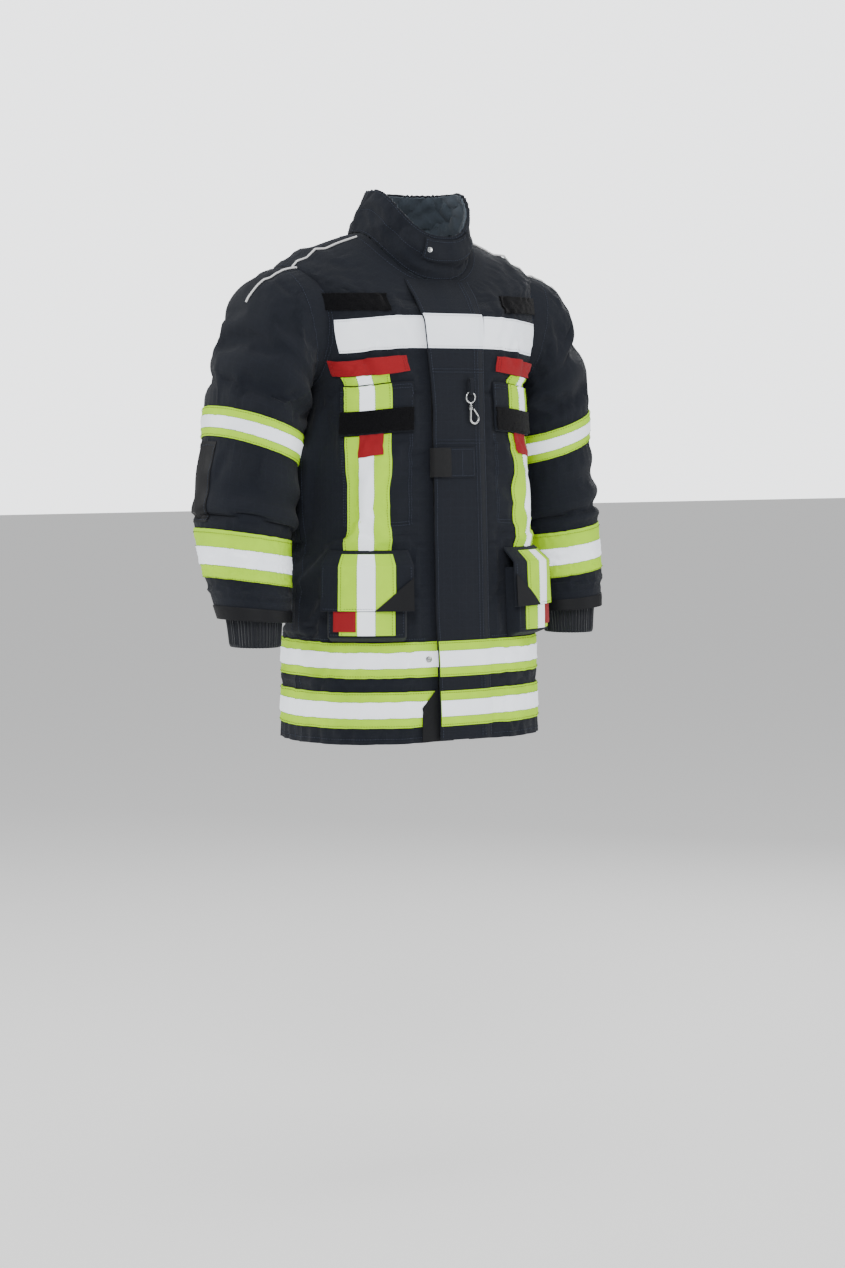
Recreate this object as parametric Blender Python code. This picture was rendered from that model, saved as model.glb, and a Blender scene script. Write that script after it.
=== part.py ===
"""A firefighter's turnout coat: shell panels, liner, collar, zip, storm flap, pockets, sleeves and a snap hook.

Lengths are metres. The coat faces -Y and its wearer's right is -X. Shapes are worked out in heights above the hem,
and they all hang from one empty that puts the underside of the hanger loop's top at the origin.
"""

import math

import bmesh
import bpy
import numpy as np
from mathutils import Matrix, Vector

# Where the hanger loop bears on a peg, behind the body's middle line and above the hem.
LOOP_BACK, LOOP_HEIGHT = 0.074, 0.786

# Body sections: height above the hem, half width, front depth, back depth, y of the widest line, drop at the front.
SECTIONS = (
    (0.000, 0.215, 0.1520, 0.150, 0.000, 0.000),
    (0.150, 0.212, 0.1456, 0.150, 0.000, 0.000),
    (0.300, 0.208, 0.1392, 0.150, 0.000, 0.000),
    (0.440, 0.202, 0.1333, 0.151, 0.006, 0.000),
    (0.500, 0.196, 0.1307, 0.156, 0.012, 0.000),
    (0.550, 0.194, 0.1286, 0.162, 0.016, 0.000),
    (0.600, 0.212, 0.1265, 0.167, 0.020, 0.000),
    (0.658, 0.226, 0.1240, 0.165, 0.022, 0.000),
    (0.742, 0.226, 0.1050, 0.128, 0.025, 0.052),
    (0.773, 0.172, 0.0967, 0.112, 0.024, 0.069),
    (0.789, 0.130, 0.0913, 0.102, 0.020, 0.076),
    (0.801, 0.092, 0.0860, 0.090, 0.015, 0.079),
)
ROUNDNESS = 2 / 2.6
FACETS = (0, 16, 32.5, 45, 57.5, 73, 90, 107, 125, 143, 161, 180)
NECK = SECTIONS[-1][0]

# Collar rings: share of the way up, half width, front depth, back depth, y of the widest line, height, front drop.
COLLAR = (
    (0.0, 0.0925, 0.0865, 0.0905, 0.015, 0.8020, 0.079),
    (0.5, 0.0890, 0.0960, 0.0760, 0.000, 0.8380, 0.077),
    (1.0, 0.0790, 0.1000, 0.0520, -0.020, 0.8690, 0.076),
)

# Cloth thicknesses, and the gaps between one layer and the next.
SHELL, LINER, TAPE, FLAP, WEB = 0.003, 0.003, 0.0012, 0.004, 0.002
GAP, TRIM_LIFT, LINER_LIFT, FLAP_LIFT = 0.0003, 0.0008, -0.009, 0.007
SEAM = 0.08

# Heights above the hem of what is sewn on, bottom and top.
HEM_TAPE_LOW, HEM_TAPE_HIGH = (0.013, 0.069), (0.092, 0.148)
LOWER_POCKET, LOWER_FLAP = (0.152, 0.262), (0.198, 0.292)
FRONT_TRIM, CHEST_FLAP, CHEST_BAND = (0.300, 0.440), (0.483, 0.561), (0.485, 0.521)
CHEST_STRAP, CHEST_TAPE, NAME_PANEL = (0.578, 0.602), (0.614, 0.666), (0.672, 0.698)
FLAP_TOP_START, FLAP_TOP_END = 0.600, 0.712

# Storm flap: its edges either side of the middle line, and the line that it is sewn along.
FLAP_RIGHT, FLAP_LEFT, FLAP_SEAM = -0.047, 0.050, 0.052
TRIM_ARC = (28.5, 57.0)

# Sleeve rings from the armhole to the cuff: (x, height) of the inner and the outer side, half depth, middle y.
HEM_HEIGHT = 0.762
SHOULDER = Vector((0.224, 0.025, 1.408 - HEM_HEIGHT))
ARMHOLE = 0.096
UPPER_SLEEVE = (
    ((0.204, 1.3180), (0.206, 1.4985), 0.0905, 0.025),
    ((0.203, 1.3140), (0.249, 1.4960), 0.0915, 0.025),
    ((0.202, 1.3100), (0.274, 1.4800), 0.0920, 0.025),
    ((0.202, 1.3060), (0.299, 1.4560), 0.0925, 0.025),
    ((0.202, 1.3000), (0.313, 1.4250), 0.0930, 0.025),
    ((0.202, 1.2880), (0.328, 1.3900), 0.0940, 0.025),
    ((0.204, 1.2640), (0.344, 1.3450), 0.0945, 0.025),
    ((0.209, 1.2300), (0.353, 1.2840), 0.0950, 0.026),
    ((0.216, 1.1860), (0.357, 1.2380), 0.0895, 0.027),
    ((0.225, 1.1430), (0.358, 1.1780), 0.0830, 0.028),
)
ELBOW = Vector((0.2915, 0.028, 1.1602 - HEM_HEIGHT))
ELBOW_TILT = math.atan2(1.178 - 1.143, 0.358 - 0.225)
FOREARM = (
    ((0.2145, 1.1395), (0.3675, 1.1799), 0.0930, 0.028),
    ((0.221, 1.1040), (0.371, 1.1350), 0.0880, 0.026),
    ((0.229, 1.0680), (0.377, 1.0920), 0.0820, 0.022),
    ((0.237, 1.0080), (0.373, 1.0290), 0.0730, 0.006),
    ((0.2385, 0.9960), (0.372, 1.0160), 0.0720, 0.002),
    ((0.248, 0.9420), (0.362, 0.9500), 0.0600, -0.018),
)
ELBOW_NOTCH = math.radians(40)
RING_SIDES = 16

NAVY, LINING, YELLOW, SILVER = 0x1B2029, 0x4A5560, 0xCBE436, 0xD4DBE3
RED, BLACK, KNIT, STEEL = 0xBB1A2B, 0x121113, 0x191B20, 0xC4C6C8

for old in list(bpy.data.objects):
    bpy.data.objects.remove(old, do_unlink=True)

coat = bpy.data.collections.new("turnout_coat")
cutters = bpy.data.collections.new("cutters")
bpy.context.scene.collection.children.link(coat)
bpy.context.scene.collection.children.link(cutters)


def empty(name, place, turn=None, parent=None):
    """An empty on a joint's axis, its local X along the axis."""
    e = bpy.data.objects.new(name, None)
    e.empty_display_size = 0.03
    e.parent = parent
    e.matrix_basis = Matrix.Translation(place) @ (turn or Matrix.Identity(4))
    coat.objects.link(e)
    return e


hanger = empty("hanger", (0, -LOOP_BACK, -LOOP_HEIGHT))


def finish(piece, colour, rough=0.85, metal=0.0):
    """Gives a piece its own material."""
    made = bpy.data.materials.new(piece.name)
    made.use_nodes = True
    shader = made.node_tree.nodes["Principled BSDF"]
    parts = [((colour >> shift) & 255) / 255 for shift in (16, 8, 0)]
    linear = [p / 12.92 if p <= 0.04045 else ((p + 0.055) / 1.055) ** 2.4 for p in parts]
    shader.inputs["Base Color"].default_value = (*linear, 1)
    shader.inputs["Roughness"].default_value = rough
    shader.inputs["Metallic"].default_value = metal
    made.diffuse_color = (*linear, 1)
    piece.data.materials.clear()
    piece.data.materials.append(made)


def add(name, mesh, colour, rough=0.85, metal=0.0, on=hanger):
    """Puts a mesh, whose points are in the coat's own heights, on the hanger or on a joint's empty."""
    mesh.name = name
    piece = bpy.data.objects.new(name, mesh)
    coat.objects.link(piece)
    piece.parent = on
    if on is not hanger:
        piece.matrix_parent_inverse = on.matrix_basis.inverted()
    finish(piece, colour, rough, metal)
    return piece


def to_mesh(bm):
    bmesh.ops.recalc_face_normals(bm, faces=bm.faces)
    mesh = bpy.data.meshes.new("piece")
    bm.to_mesh(mesh)
    bm.free()
    return mesh


def slab(outer, inner, closed=False):
    """A closed sheet between two grids of points, each a list of rows; closed joins the last column to the first."""
    rows, columns = len(outer), len(outer[0])
    bm = bmesh.new()
    sides = [[[bm.verts.new(p) for p in row] for row in grid] for grid in (outer, inner)]
    steps = columns if closed else columns - 1

    def quad(*corners):
        bm.faces.new(corners)

    for c in range(steps):
        d = (c + 1) % columns
        for r in range(rows - 1):
            for side in sides:
                quad(side[r][c], side[r][d], side[r + 1][d], side[r + 1][c])
        for r in (0, rows - 1):
            quad(sides[0][r][c], sides[0][r][d], sides[1][r][d], sides[1][r][c])
    if not closed:
        for c in (0, columns - 1):
            for r in range(rows - 1):
                quad(sides[0][r][c], sides[0][r + 1][c], sides[1][r + 1][c], sides[1][r][c])
    return to_mesh(bm)


class Skin:
    """A surface on a grid of rows and columns that can be lifted squarely off itself."""

    def __init__(self, rows, columns, place, closed=True):
        self.rows, self.columns = rows, columns
        grid = np.array([[place(r, c) for c in columns] for r in rows])
        along, up = np.diff(grid, axis=1), np.diff(grid, axis=0)
        faces = np.cross(along[:-1] + along[1:], up[:, :-1] + up[:, 1:])
        faces /= np.linalg.norm(faces, axis=2, keepdims=True)
        lift = np.zeros_like(grid)
        last = len(columns) - 1
        for r in range(len(rows)):
            for c in range(len(columns)):
                beside = {(c - 1) % last, c % last} if closed else {max(c - 1, 0), min(c, last - 1)}
                above = {max(r - 1, 0), min(r, len(rows) - 2)}
                near = [faces[i, j] for i in above for j in beside]
                normal = np.sum(near, axis=0)
                normal /= np.linalg.norm(normal)
                lift[r, c] = normal / np.mean([normal @ n for n in near])
        self.grid, self.lift = grid, lift

    def point(self, row, column, lift=0.0):
        column = column - 360 if column > self.columns[-1] else column
        r = min(max(np.searchsorted(self.rows, row) - 1, 0), len(self.rows) - 2)
        c = min(max(np.searchsorted(self.columns, column) - 1, 0), len(self.columns) - 2)
        v = (row - self.rows[r]) / (self.rows[r + 1] - self.rows[r])
        u = (column - self.columns[c]) / (self.columns[c + 1] - self.columns[c])
        at = self.grid + lift * self.lift
        low = at[r, c] * (1 - u) + at[r, c + 1] * u
        high = at[r + 1, c] * (1 - u) + at[r + 1, c + 1] * u
        return Vector(low * (1 - v) + high * v)

    def patch(self, rows, columns, low, high, closed=False):
        """A sheet over the given span, from lift low to lift high; each may be a function of (row, column)."""
        rows = [rows[0], *(r for r in self.rows if rows[0] < r < rows[-1]), rows[-1]]
        turns = sorted({c + full for c in self.columns for full in (0, 360)})
        inside = [c for c in turns if columns[0] < c < columns[-1]]
        columns = [columns[0], *inside] + ([] if closed else [columns[-1]])
        levels = [f if callable(f) else (lambda r, c, f=f: f) for f in (high, low)]
        grids = [[[self.point(r, c, f(r, c)) for c in columns] for r in rows] for f in levels]
        return slab(*grids, closed=closed)


def oval(turn, wide, front, back, middle):
    """A point on a rounded oval, its turn in degrees from the middle of the front."""
    s, c = math.sin(math.radians(turn)), math.cos(math.radians(turn))
    x = math.copysign(wide * abs(s) ** ROUNDNESS, s) if abs(s) > 1e-9 else 0.0
    deep = front + middle if c > 0 else back - middle
    y = middle - math.copysign(deep * abs(c) ** ROUNDNESS, c) if abs(c) > 1e-9 else middle
    return x, y, max(c, 0.0) ** 1.5


def keyed(table, at):
    """The values of a table's row at a key, read between its rows."""
    keys = [row[0] for row in table]
    return [float(np.interp(at, keys, [row[i] for row in table])) for i in range(1, len(table[0]))]


def body_place(height, turn):
    wide, front, back, middle, drop = keyed(SECTIONS, height)
    x, y, forward = oval(turn, wide, front, back, middle)
    return x, y, height - drop * forward


def collar_place(share, turn):
    wide, front, back, middle, height, drop = keyed(COLLAR, share)
    x, y, forward = oval(turn, wide, front, back, middle)
    return x, y, height - drop * forward


TURNS = sorted({side * f for f in FACETS for side in (-1, 1)})
body = Skin([s[0] for s in SECTIONS], TURNS, body_place)
collar = Skin([c[0] for c in COLLAR], TURNS, collar_place)


def front_y(height):
    """The y of the middle of the front, which is straight from the hem to the chest and then leans back."""
    return -float(np.interp(height, [0, 0.658, 0.722], [0.152, 0.124, 0.086]))


def front_point(x, height, lift):
    """A point in front of the body near its middle line, where the body is two flat halves."""
    slope = float(np.interp(height, [0.658, 0.722], [0.055, 0.100]))
    return Vector((x, front_y(height) - lift + slope * abs(x), height))


def front_strip(xs, heights, low, high):
    """A strip near the middle line, between two lifts off the front."""
    xs = sorted({*xs, *({0.0} if xs[0] < 0 < xs[-1] else set())})
    heights = [heights[0], *(h for h in (0.658,) if heights[0] < h < heights[-1]), heights[-1]]
    return slab(*[[[front_point(x, h, lift) for x in xs] for h in heights] for lift in (high, low)])


def cutter(name, mesh):
    c = bpy.data.objects.new(name, mesh)
    cutters.objects.link(c)
    c.parent = hanger
    c.hide_render = True
    c.display_type = "WIRE"
    return c


def cylinder(radius, length, middle, axis, sides=32, far_radius=None):
    """A closed cylinder or cone between two ends on an axis."""
    bm = bmesh.new()
    turn = Vector((0, 0, 1)).rotation_difference(Vector(axis)).to_matrix().to_4x4()
    bmesh.ops.create_cone(
        bm,
        cap_ends=True,
        segments=sides,
        radius1=radius,
        radius2=radius if far_radius is None else far_radius,
        depth=length,
        matrix=Matrix.Translation(middle) @ turn,
    )
    return to_mesh(bm)


def box(size, middle, turn=None):
    bm = bmesh.new()
    spread = Matrix.Diagonal((*size, 1))
    bmesh.ops.create_cube(bm, size=1, matrix=Matrix.Translation(middle) @ (turn or Matrix.Identity(4)) @ spread)
    return to_mesh(bm)


def boolean(piece, other, operation="DIFFERENCE"):
    m = piece.modifiers.new(operation.lower(), "BOOLEAN")
    m.operation, m.object, m.solver = operation, other, "EXACT"


# The armholes are cut straight in from each side through the shell and the liner.
armholes = []
for side, word in ((-1, "right"), (1, "left")):
    middle = (side * 0.280, SHOULDER.y, SHOULDER.z)
    armholes.append(cutter(f"armhole_{word}", cylinder(ARMHOLE, 0.26, middle, (1, 0, 0), 40)))


# Shell panels meet at the side and shoulder seams, and the fronts stop short of the zip.
FRONT_EDGE = 1.9
for word, span in (
    ("back", (90 + SEAM, 270 - SEAM)),
    ("front_right", (-90 + SEAM, -FRONT_EDGE)),
    ("front_left", (FRONT_EDGE, 90 - SEAM)),
):
    panel = add(f"shell_{word}", body.patch((0, NECK), span, -SHELL, 0), NAVY)
    for hole in armholes:
        boolean(panel, hole)

# The liner hangs inside the shell and is open at the front.
LINER_HEM, LINER_EDGE = 0.030, 14
liner = body.patch((LINER_HEM, NECK - 0.001), (LINER_EDGE, 360 - LINER_EDGE), LINER_LIFT, LINER_LIFT + LINER)
torso_liner = add("torso_liner", liner, LINING)
for hole in armholes:
    boolean(torso_liner, hole)

# The collar is a standing funnel of two cloths, wrapped shut by a tab on a press stud.
COLLAR_CLOTH = 0.004
add("collar_shell", collar.patch((0, 1), (-180, 180), -COLLAR_CLOTH, 0, closed=True), NAVY)
lining = collar.patch((0.02, 0.985), (-180, 180), -COLLAR_CLOTH - 0.0035, -COLLAR_CLOTH - GAP, closed=True)
add("collar_lining", lining, LINING)

TAB_ROWS, TAB_TURNS = (0.42, 0.90), (-18, 30)
tab_hinge = collar.point(0.42, 31, 0.002)
tab_rise = (collar.point(0.90, 31, 0.002) - tab_hinge).normalized()
tab_axis = empty("axis_collar_tab", tab_hinge, tab_rise.to_track_quat("X", "Y").to_matrix().to_4x4(), hanger)
add("collar_tab", collar.patch(TAB_ROWS, TAB_TURNS, TRIM_LIFT, TRIM_LIFT + 0.0028), NAVY, on=tab_axis)

# The hanger loop is a webbing arch inside the back of the neck.
ARCH_WIDE, ARCH_TALL, ARCH_DEEP = 0.028, 0.020, 0.004
arch = [
    [
        [
            Vector(
                (
                    (ARCH_WIDE + grow) * math.cos(math.pi * k / 10),
                    LOOP_BACK + y,
                    LOOP_HEIGHT - ARCH_TALL + (ARCH_TALL + grow) * math.sin(math.pi * k / 10),
                )
            )
            for k in range(11)
        ]
        for y in (-ARCH_DEEP, ARCH_DEEP)
    ]
    for grow in (WEB, 0)
]
add("hanger_loop", slab(*arch), BLACK)

# Tape on the body: each run ends at the front edge, short of the zip or of the storm flap's seam.
RIGHT_EDGE, LEFT_EDGE = 2.7, 11.5
tape = (TRIM_LIFT, TRIM_LIFT + TAPE)
add("chest_tape_right", body.patch(CHEST_TAPE, (-57.4, -RIGHT_EDGE), *tape), SILVER, 0.4)
add("chest_tape_left", body.patch(CHEST_TAPE, (LEFT_EDGE, 57.4), *tape), SILVER, 0.4)
for name, rows in (("hem_tape_lower", HEM_TAPE_LOW), ("hem_tape_upper", HEM_TAPE_HIGH)):
    add(name, body.patch(rows, (LEFT_EDGE, 360 - RIGHT_EDGE), *tape), YELLOW, 0.6)

# Zip: a tape behind each front edge, with the slider between them and its pull in front.
ZIP_INNER, ZIP_OUTER, ZIP_LIFT = 0.0065, 0.026, -0.0048
ZIP_TOP = 0.656
for side, word in ((-1, "right"), (1, "left")):
    xs = sorted((side * ZIP_INNER, side * ZIP_OUTER))
    add(f"zip_tape_{word}", front_strip(xs, (0.004, ZIP_TOP), ZIP_LIFT, ZIP_LIFT + TAPE), BLACK)

front_lean = math.atan2(front_y(0.658) - front_y(0), 0.658)
lean = Matrix.Rotation(-front_lean, 4, "X")
down = Vector((0, -math.sin(front_lean), -math.cos(front_lean)))
SLIDER_SIZE, SLIDER_HEIGHT = (0.011, 0.0095, 0.018), 0.645
slider_place = front_point(0, SLIDER_HEIGHT, -0.0022)
slider_axis = empty("axis_zip_slider", slider_place, down.to_track_quat("X", "Y").to_matrix().to_4x4(), hanger)
add("zip_slider", box(SLIDER_SIZE, slider_place, lean), STEEL, 0.35, 1.0, on=slider_axis)
PULL_SIZE, PULL_LIFT = (0.010, 0.0014, 0.034), 0.0036
pull_place = front_point(0, SLIDER_HEIGHT, PULL_LIFT)
pull_axis = empty("axis_zip_pull", pull_place, Matrix.Rotation(math.radians(-90), 4, "Z"), hanger)
add("zip_pull", box(PULL_SIZE, front_point(0, SLIDER_HEIGHT - 0.015, PULL_LIFT), lean), BLACK, on=pull_axis)

# Storm flap: the long part swings on its seam, and the top stays under the collar.
add("flap_closure_strip", front_strip((-0.044, -0.024), (0.020, 0.590), 0.0024, 0.0042), BLACK)
flap_foot, flap_head = (front_point(FLAP_SEAM, h, FLAP_LIFT + 0.0005) for h in (0.002, 0.598))
flap_turn = (flap_head - flap_foot).to_track_quat("X", "Y").to_matrix().to_4x4()
flap_axis = empty("axis_storm_flap", flap_foot, flap_turn, hanger)
flap_xs, tape_xs = (FLAP_RIGHT, FLAP_LEFT), (FLAP_RIGHT + 0.001, FLAP_LEFT - 0.001)
FLAP_OUT = FLAP_LIFT + FLAP
on_flap = (FLAP_OUT + GAP, FLAP_OUT + GAP + TAPE)
add("storm_flap", front_strip(flap_xs, (0.002, 0.598), FLAP_LIFT, FLAP_OUT), NAVY, on=flap_axis)
for name, rows in (("flap_hem_tape_lower", HEM_TAPE_LOW), ("flap_hem_tape_upper", HEM_TAPE_HIGH)):
    add(name, front_strip(tape_xs, rows, *on_flap), YELLOW, 0.6, on=flap_axis)
add("flap_top", front_strip(flap_xs, (FLAP_TOP_START, FLAP_TOP_END), FLAP_LIFT, FLAP_OUT), NAVY)
add("flap_chest_tape", front_strip(tape_xs, CHEST_TAPE, *on_flap), SILVER, 0.4)
add("grab_tab", front_strip((-0.051, 0.030), (0.408, 0.456), FLAP_OUT + GAP, FLAP_OUT + GAP + WEB), NAVY, on=flap_axis)


def to_solid(curve):
    """A curve's mesh with its caps welded on."""
    piece = bpy.data.objects.new("curve", curve)
    cutters.objects.link(piece)
    bpy.context.view_layer.update()
    made = bpy.data.meshes.new_from_object(piece.evaluated_get(bpy.context.evaluated_depsgraph_get()))
    bpy.data.objects.remove(piece)
    bm = bmesh.new()
    bm.from_mesh(made)
    bmesh.ops.remove_doubles(bm, verts=bm.verts, dist=0.00001)
    return to_mesh(bm)


def wire(points, radius, closed=False):
    """A round wire along points."""
    curve = bpy.data.curves.new("wire", "CURVE")
    curve.dimensions = "3D"
    spline = curve.splines.new("POLY")
    spline.points.add(len(points) - 1)
    for made, p in zip(spline.points, points):
        made.co = (*p, 1)
    spline.use_cyclic_u = closed
    curve.bevel_depth, curve.bevel_resolution, curve.use_fill_caps = radius, 1, True
    return to_solid(curve)


# Snap hook: it hangs on the storm flap from a webbing loop, through a ring with a swivel stem.
HOOK_X, HOOK_TOP = 0.022, 0.540
LOOP_WIDE, LOOP_DEEP, LOOP_TALL = 0.007, 0.010, 0.026
hook_face = front_point(HOOK_X, HOOK_TOP, FLAP_OUT + GAP).y
loop_middle = Vector((HOOK_X, hook_face - LOOP_DEEP / 2, HOOK_TOP + LOOP_TALL / 2))


def loop_ring(shrink):
    deep, tall = LOOP_DEEP / 2 - shrink, LOOP_TALL / 2 - shrink
    turns = [2 * math.pi * k / 12 for k in range(12)]
    flat = [(math.copysign(abs(math.cos(t)) ** 0.7, math.cos(t)), math.sin(t)) for t in turns]
    return [
        [loop_middle + Vector((x, deep * u, tall * v)) for u, v in flat] for x in (-LOOP_WIDE / 2, LOOP_WIDE / 2)
    ]


add("hook_loop", slab(loop_ring(0), loop_ring(0.0015), closed=True), NAVY, on=flap_axis)

RING_RADIUS, RING_WIRE = 0.0085, 0.0013
ring_pivot = Vector((HOOK_X, loop_middle.y, HOOK_TOP + 0.0015 + 0.0012 + RING_WIRE + GAP))
ring_middle = ring_pivot - Vector((0, 0, RING_RADIUS))
ring_axis = empty("axis_hook_ring", ring_pivot, None, hanger)
circle = [
    ring_middle + RING_RADIUS * Vector((math.sin(math.tau * k / 20), 0, math.cos(math.tau * k / 20)))
    for k in range(20)
]
hook_ring = add("hook_ring", wire(circle, RING_WIRE, closed=True), STEEL, 0.3, 1.0, on=ring_axis)
STEM_LONG = 0.006
stem_middle = ring_middle - Vector((0, 0, RING_RADIUS + STEM_LONG / 2))
stem = cutter("ring_stem", cylinder(0.0028, STEM_LONG, stem_middle, (0, 0, 1), 12))
boolean(hook_ring, stem, "UNION")

HOOK_WIRE, HOOK_BEND = 0.0020, 0.0075
hook_top = stem_middle - Vector((0, 0, STEM_LONG / 2 + GAP))
hook_axis = empty("axis_snap_hook", hook_top, Matrix.Rotation(math.radians(-90), 4, "Y"), hanger)
barrel_long = 0.005
spine_foot = hook_top - Vector((0, 0, 0.019))
bend = [
    spine_foot + Vector((HOOK_BEND - HOOK_BEND * math.cos(math.pi * k / 8), 0, -HOOK_BEND * math.sin(math.pi * k / 8)))
    for k in range(9)
]
shape = [hook_top - Vector((0, 0, 0.0025)), *bend, spine_foot + Vector((2 * HOOK_BEND, 0, 0.002))]
snap_hook = add("snap_hook", wire(shape, HOOK_WIRE), STEEL, 0.3, 1.0, on=hook_axis)
barrel_middle = hook_top - Vector((0, 0, barrel_long / 2))
boolean(snap_hook, cutter("barrel", cylinder(0.0036, barrel_long, barrel_middle, (0, 0, 1), 12)), "UNION")
gate_foot = spine_foot + Vector((2 * HOOK_BEND, 0, 0.0036))
gate_head = hook_top + Vector((0.0060, 0, -0.0035))
gate_axis = empty("axis_hook_gate", gate_head, Matrix.Rotation(math.radians(90), 4, "Z"), hanger)
add("hook_gate", wire([gate_foot, gate_head], 0.0013), STEEL, 0.3, 1.0, on=gate_axis)


def chord_axis(name, skin, row, turns, lift):
    """An empty on the straight line that touches a curved top edge where it stands out the furthest."""
    edge = [skin.point(row, t, lift) for t in np.linspace(turns[0], turns[1], 13)]
    along = (edge[-1] - edge[0]).normalized()
    out = along.cross(Vector((0, 0, 1)))
    out = out if out.y < 0 else -out
    touch = max(edge, key=lambda p: p.dot(out))
    return empty(name, touch, along.to_track_quat("X", "Z").to_matrix().to_4x4(), hanger)


POCKET_DEPTH = 0.021


def pocket_lift(row, turn):
    """How far the lower pocket stands off the body."""
    return POCKET_DEPTH


def tray(rows, columns, lift, wall):
    """An open pocket on the body: a front wall, two side walls and a bottom."""
    degree = wall / 0.0036
    grids = []
    for inset, less in ((0, 0), (wall, wall)):
        turn_inset = inset / wall * degree if wall else 0
        low, high = columns[0] + turn_inset, columns[1] - turn_inset
        step = 0.15
        turns = [low, low + step, *(c for c in body.columns if low + step < c < high - step), high - step, high]
        heights = [rows[0] + inset, rows[0] + inset + 0.0005, *(r for r in body.rows if rows[0] + 0.01 < r < rows[1])]
        heights.append(rows[1])
        grid = []
        for i, r in enumerate(heights):
            edge = [0 if i == 0 or j in (0, len(turns) - 1) else 1 for j in range(len(turns))]
            grid.append([body.point(r, c, (lift(r, c) - less) if e else TRIM_LIFT) for c, e in zip(turns, edge)])
        grids.append(grid)
    return slab(*grids)


def span(side, low, high):
    """A stretch of turns on the wearer's right (-1) or left (1)."""
    return (low, high) if side > 0 else (-high, -low)


def raised(base, more):
    return lambda row, turn: base(row, turn) + more


# What comes in pairs: panels, straps, trims, pockets with their flaps, and sleeves.
CHEST_FLAP_LIFT, CHEST_ARC, LOWER_ARC = 0.003, (17, 60), (20, 67)
FLAP_CLOTH = 0.0035
NAME_SIZE, NAME_TURN, NAME_ROW = (0.112, 0.002, 0.025), 38.75, 0.7035
for side, word in ((-1, "right"), (1, "left")):
    panel_at = body.point(NAME_ROW, side * NAME_TURN, 0.0032)
    across = (body.point(NAME_ROW, side * 44, 0) - body.point(NAME_ROW, side * 34, 0)).normalized()
    upward = (body.point(NAME_ROW + 0.02, side * NAME_TURN, 0) - body.point(NAME_ROW, side * NAME_TURN, 0)).normalized()
    outward = across.cross(upward).normalized()
    turn = Matrix((across, outward, across.cross(outward))).transposed().to_4x4()
    add(f"name_panel_{word}", box(NAME_SIZE, panel_at, turn), BLACK)
    add(f"chest_strap_{word}", body.patch(CHEST_STRAP, span(side, 18, 61), TRIM_LIFT, TRIM_LIFT + WEB), RED)
    add(f"front_trim_{word}", body.patch(FRONT_TRIM, span(side, *TRIM_ARC), *tape), YELLOW, 0.6)

    chest_axis = chord_axis(f"axis_chest_flap_{word}", body, CHEST_FLAP[1], span(side, *CHEST_ARC), 0.004)

    def chest_lift(row, turn, more=0.0):
        return float(np.interp(row, [0.545, CHEST_FLAP[1]], [CHEST_FLAP_LIFT, TRIM_LIFT])) + more

    def chest_patch(rows, arc, low, high):
        return body.patch(rows, span(side, *arc), raised(chest_lift, low), raised(chest_lift, high))

    add(f"chest_flap_{word}", chest_patch(CHEST_FLAP, CHEST_ARC, 0, FLAP_CLOTH), NAVY, on=chest_axis)
    over = FLAP_CLOTH + GAP + 0.0002
    add(
        f"chest_flap_trim_{word}",
        chest_patch((CHEST_BAND[1] + 0.001, 0.544), TRIM_ARC, over, over + TAPE),
        YELLOW,
        0.6,
        on=chest_axis,
    )
    add(f"chest_flap_band_{word}", chest_patch(CHEST_BAND, (17.5, 59.5), over, over + 0.0016), BLACK, on=chest_axis)
    add(f"chest_flap_tab_{word}", chest_patch((0.447, 0.492), (33, 47.5), -0.0018, -0.0004), RED, on=chest_axis)

    add(f"lower_pocket_{word}", tray(LOWER_POCKET, span(side, 22, 65), pocket_lift, SHELL), NAVY)

    def flap_lift(row, turn):
        share = min(1.0, max(0.0, (LOWER_FLAP[1] - row) / 0.022))
        return TRIM_LIFT + share * (pocket_lift(row, turn) + 0.003 - TRIM_LIFT)

    def lower_patch(rows, arc, low, high):
        return body.patch(rows, span(side, *arc), raised(flap_lift, low), raised(flap_lift, high))

    lower_axis = chord_axis(f"axis_lower_flap_{word}", body, LOWER_FLAP[1], span(side, *LOWER_ARC), 0.004)
    rows = [LOWER_FLAP[0], LOWER_FLAP[1] - 0.022, LOWER_FLAP[1]]
    first, last = span(side, *LOWER_ARC)
    turns = [first, *(c for c in body.columns if first < c < last), last]
    grids = [
        [[body.point(r, c, flap_lift(r, c) + more) for c in turns] for r in rows] for more in (FLAP_CLOTH, 0)
    ]
    add(f"lower_flap_{word}", slab(*grids), NAVY, on=lower_axis)
    trim_rows = (LOWER_FLAP[0] + 0.001, LOWER_FLAP[1] - 0.023)
    add(f"lower_flap_trim_{word}", lower_patch(trim_rows, TRIM_ARC, over, over + TAPE), YELLOW, 0.6, on=lower_axis)
    tab = body.patch((0.166, 0.208), span(side, 48, 60), raised(pocket_lift, 0.0006), raised(pocket_lift, 0.0022))
    add(f"lower_flap_tab_{word}", tab, RED, on=lower_axis)

STUD_X, STUD_HEIGHT = -0.060, 0.120
stud_at = front_point(STUD_X, STUD_HEIGHT, 0.0042)
add("press_stud", cylinder(0.0055, 0.003, stud_at, (0, 1, 0), 16), STEEL, 0.3, 1.0)


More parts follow.
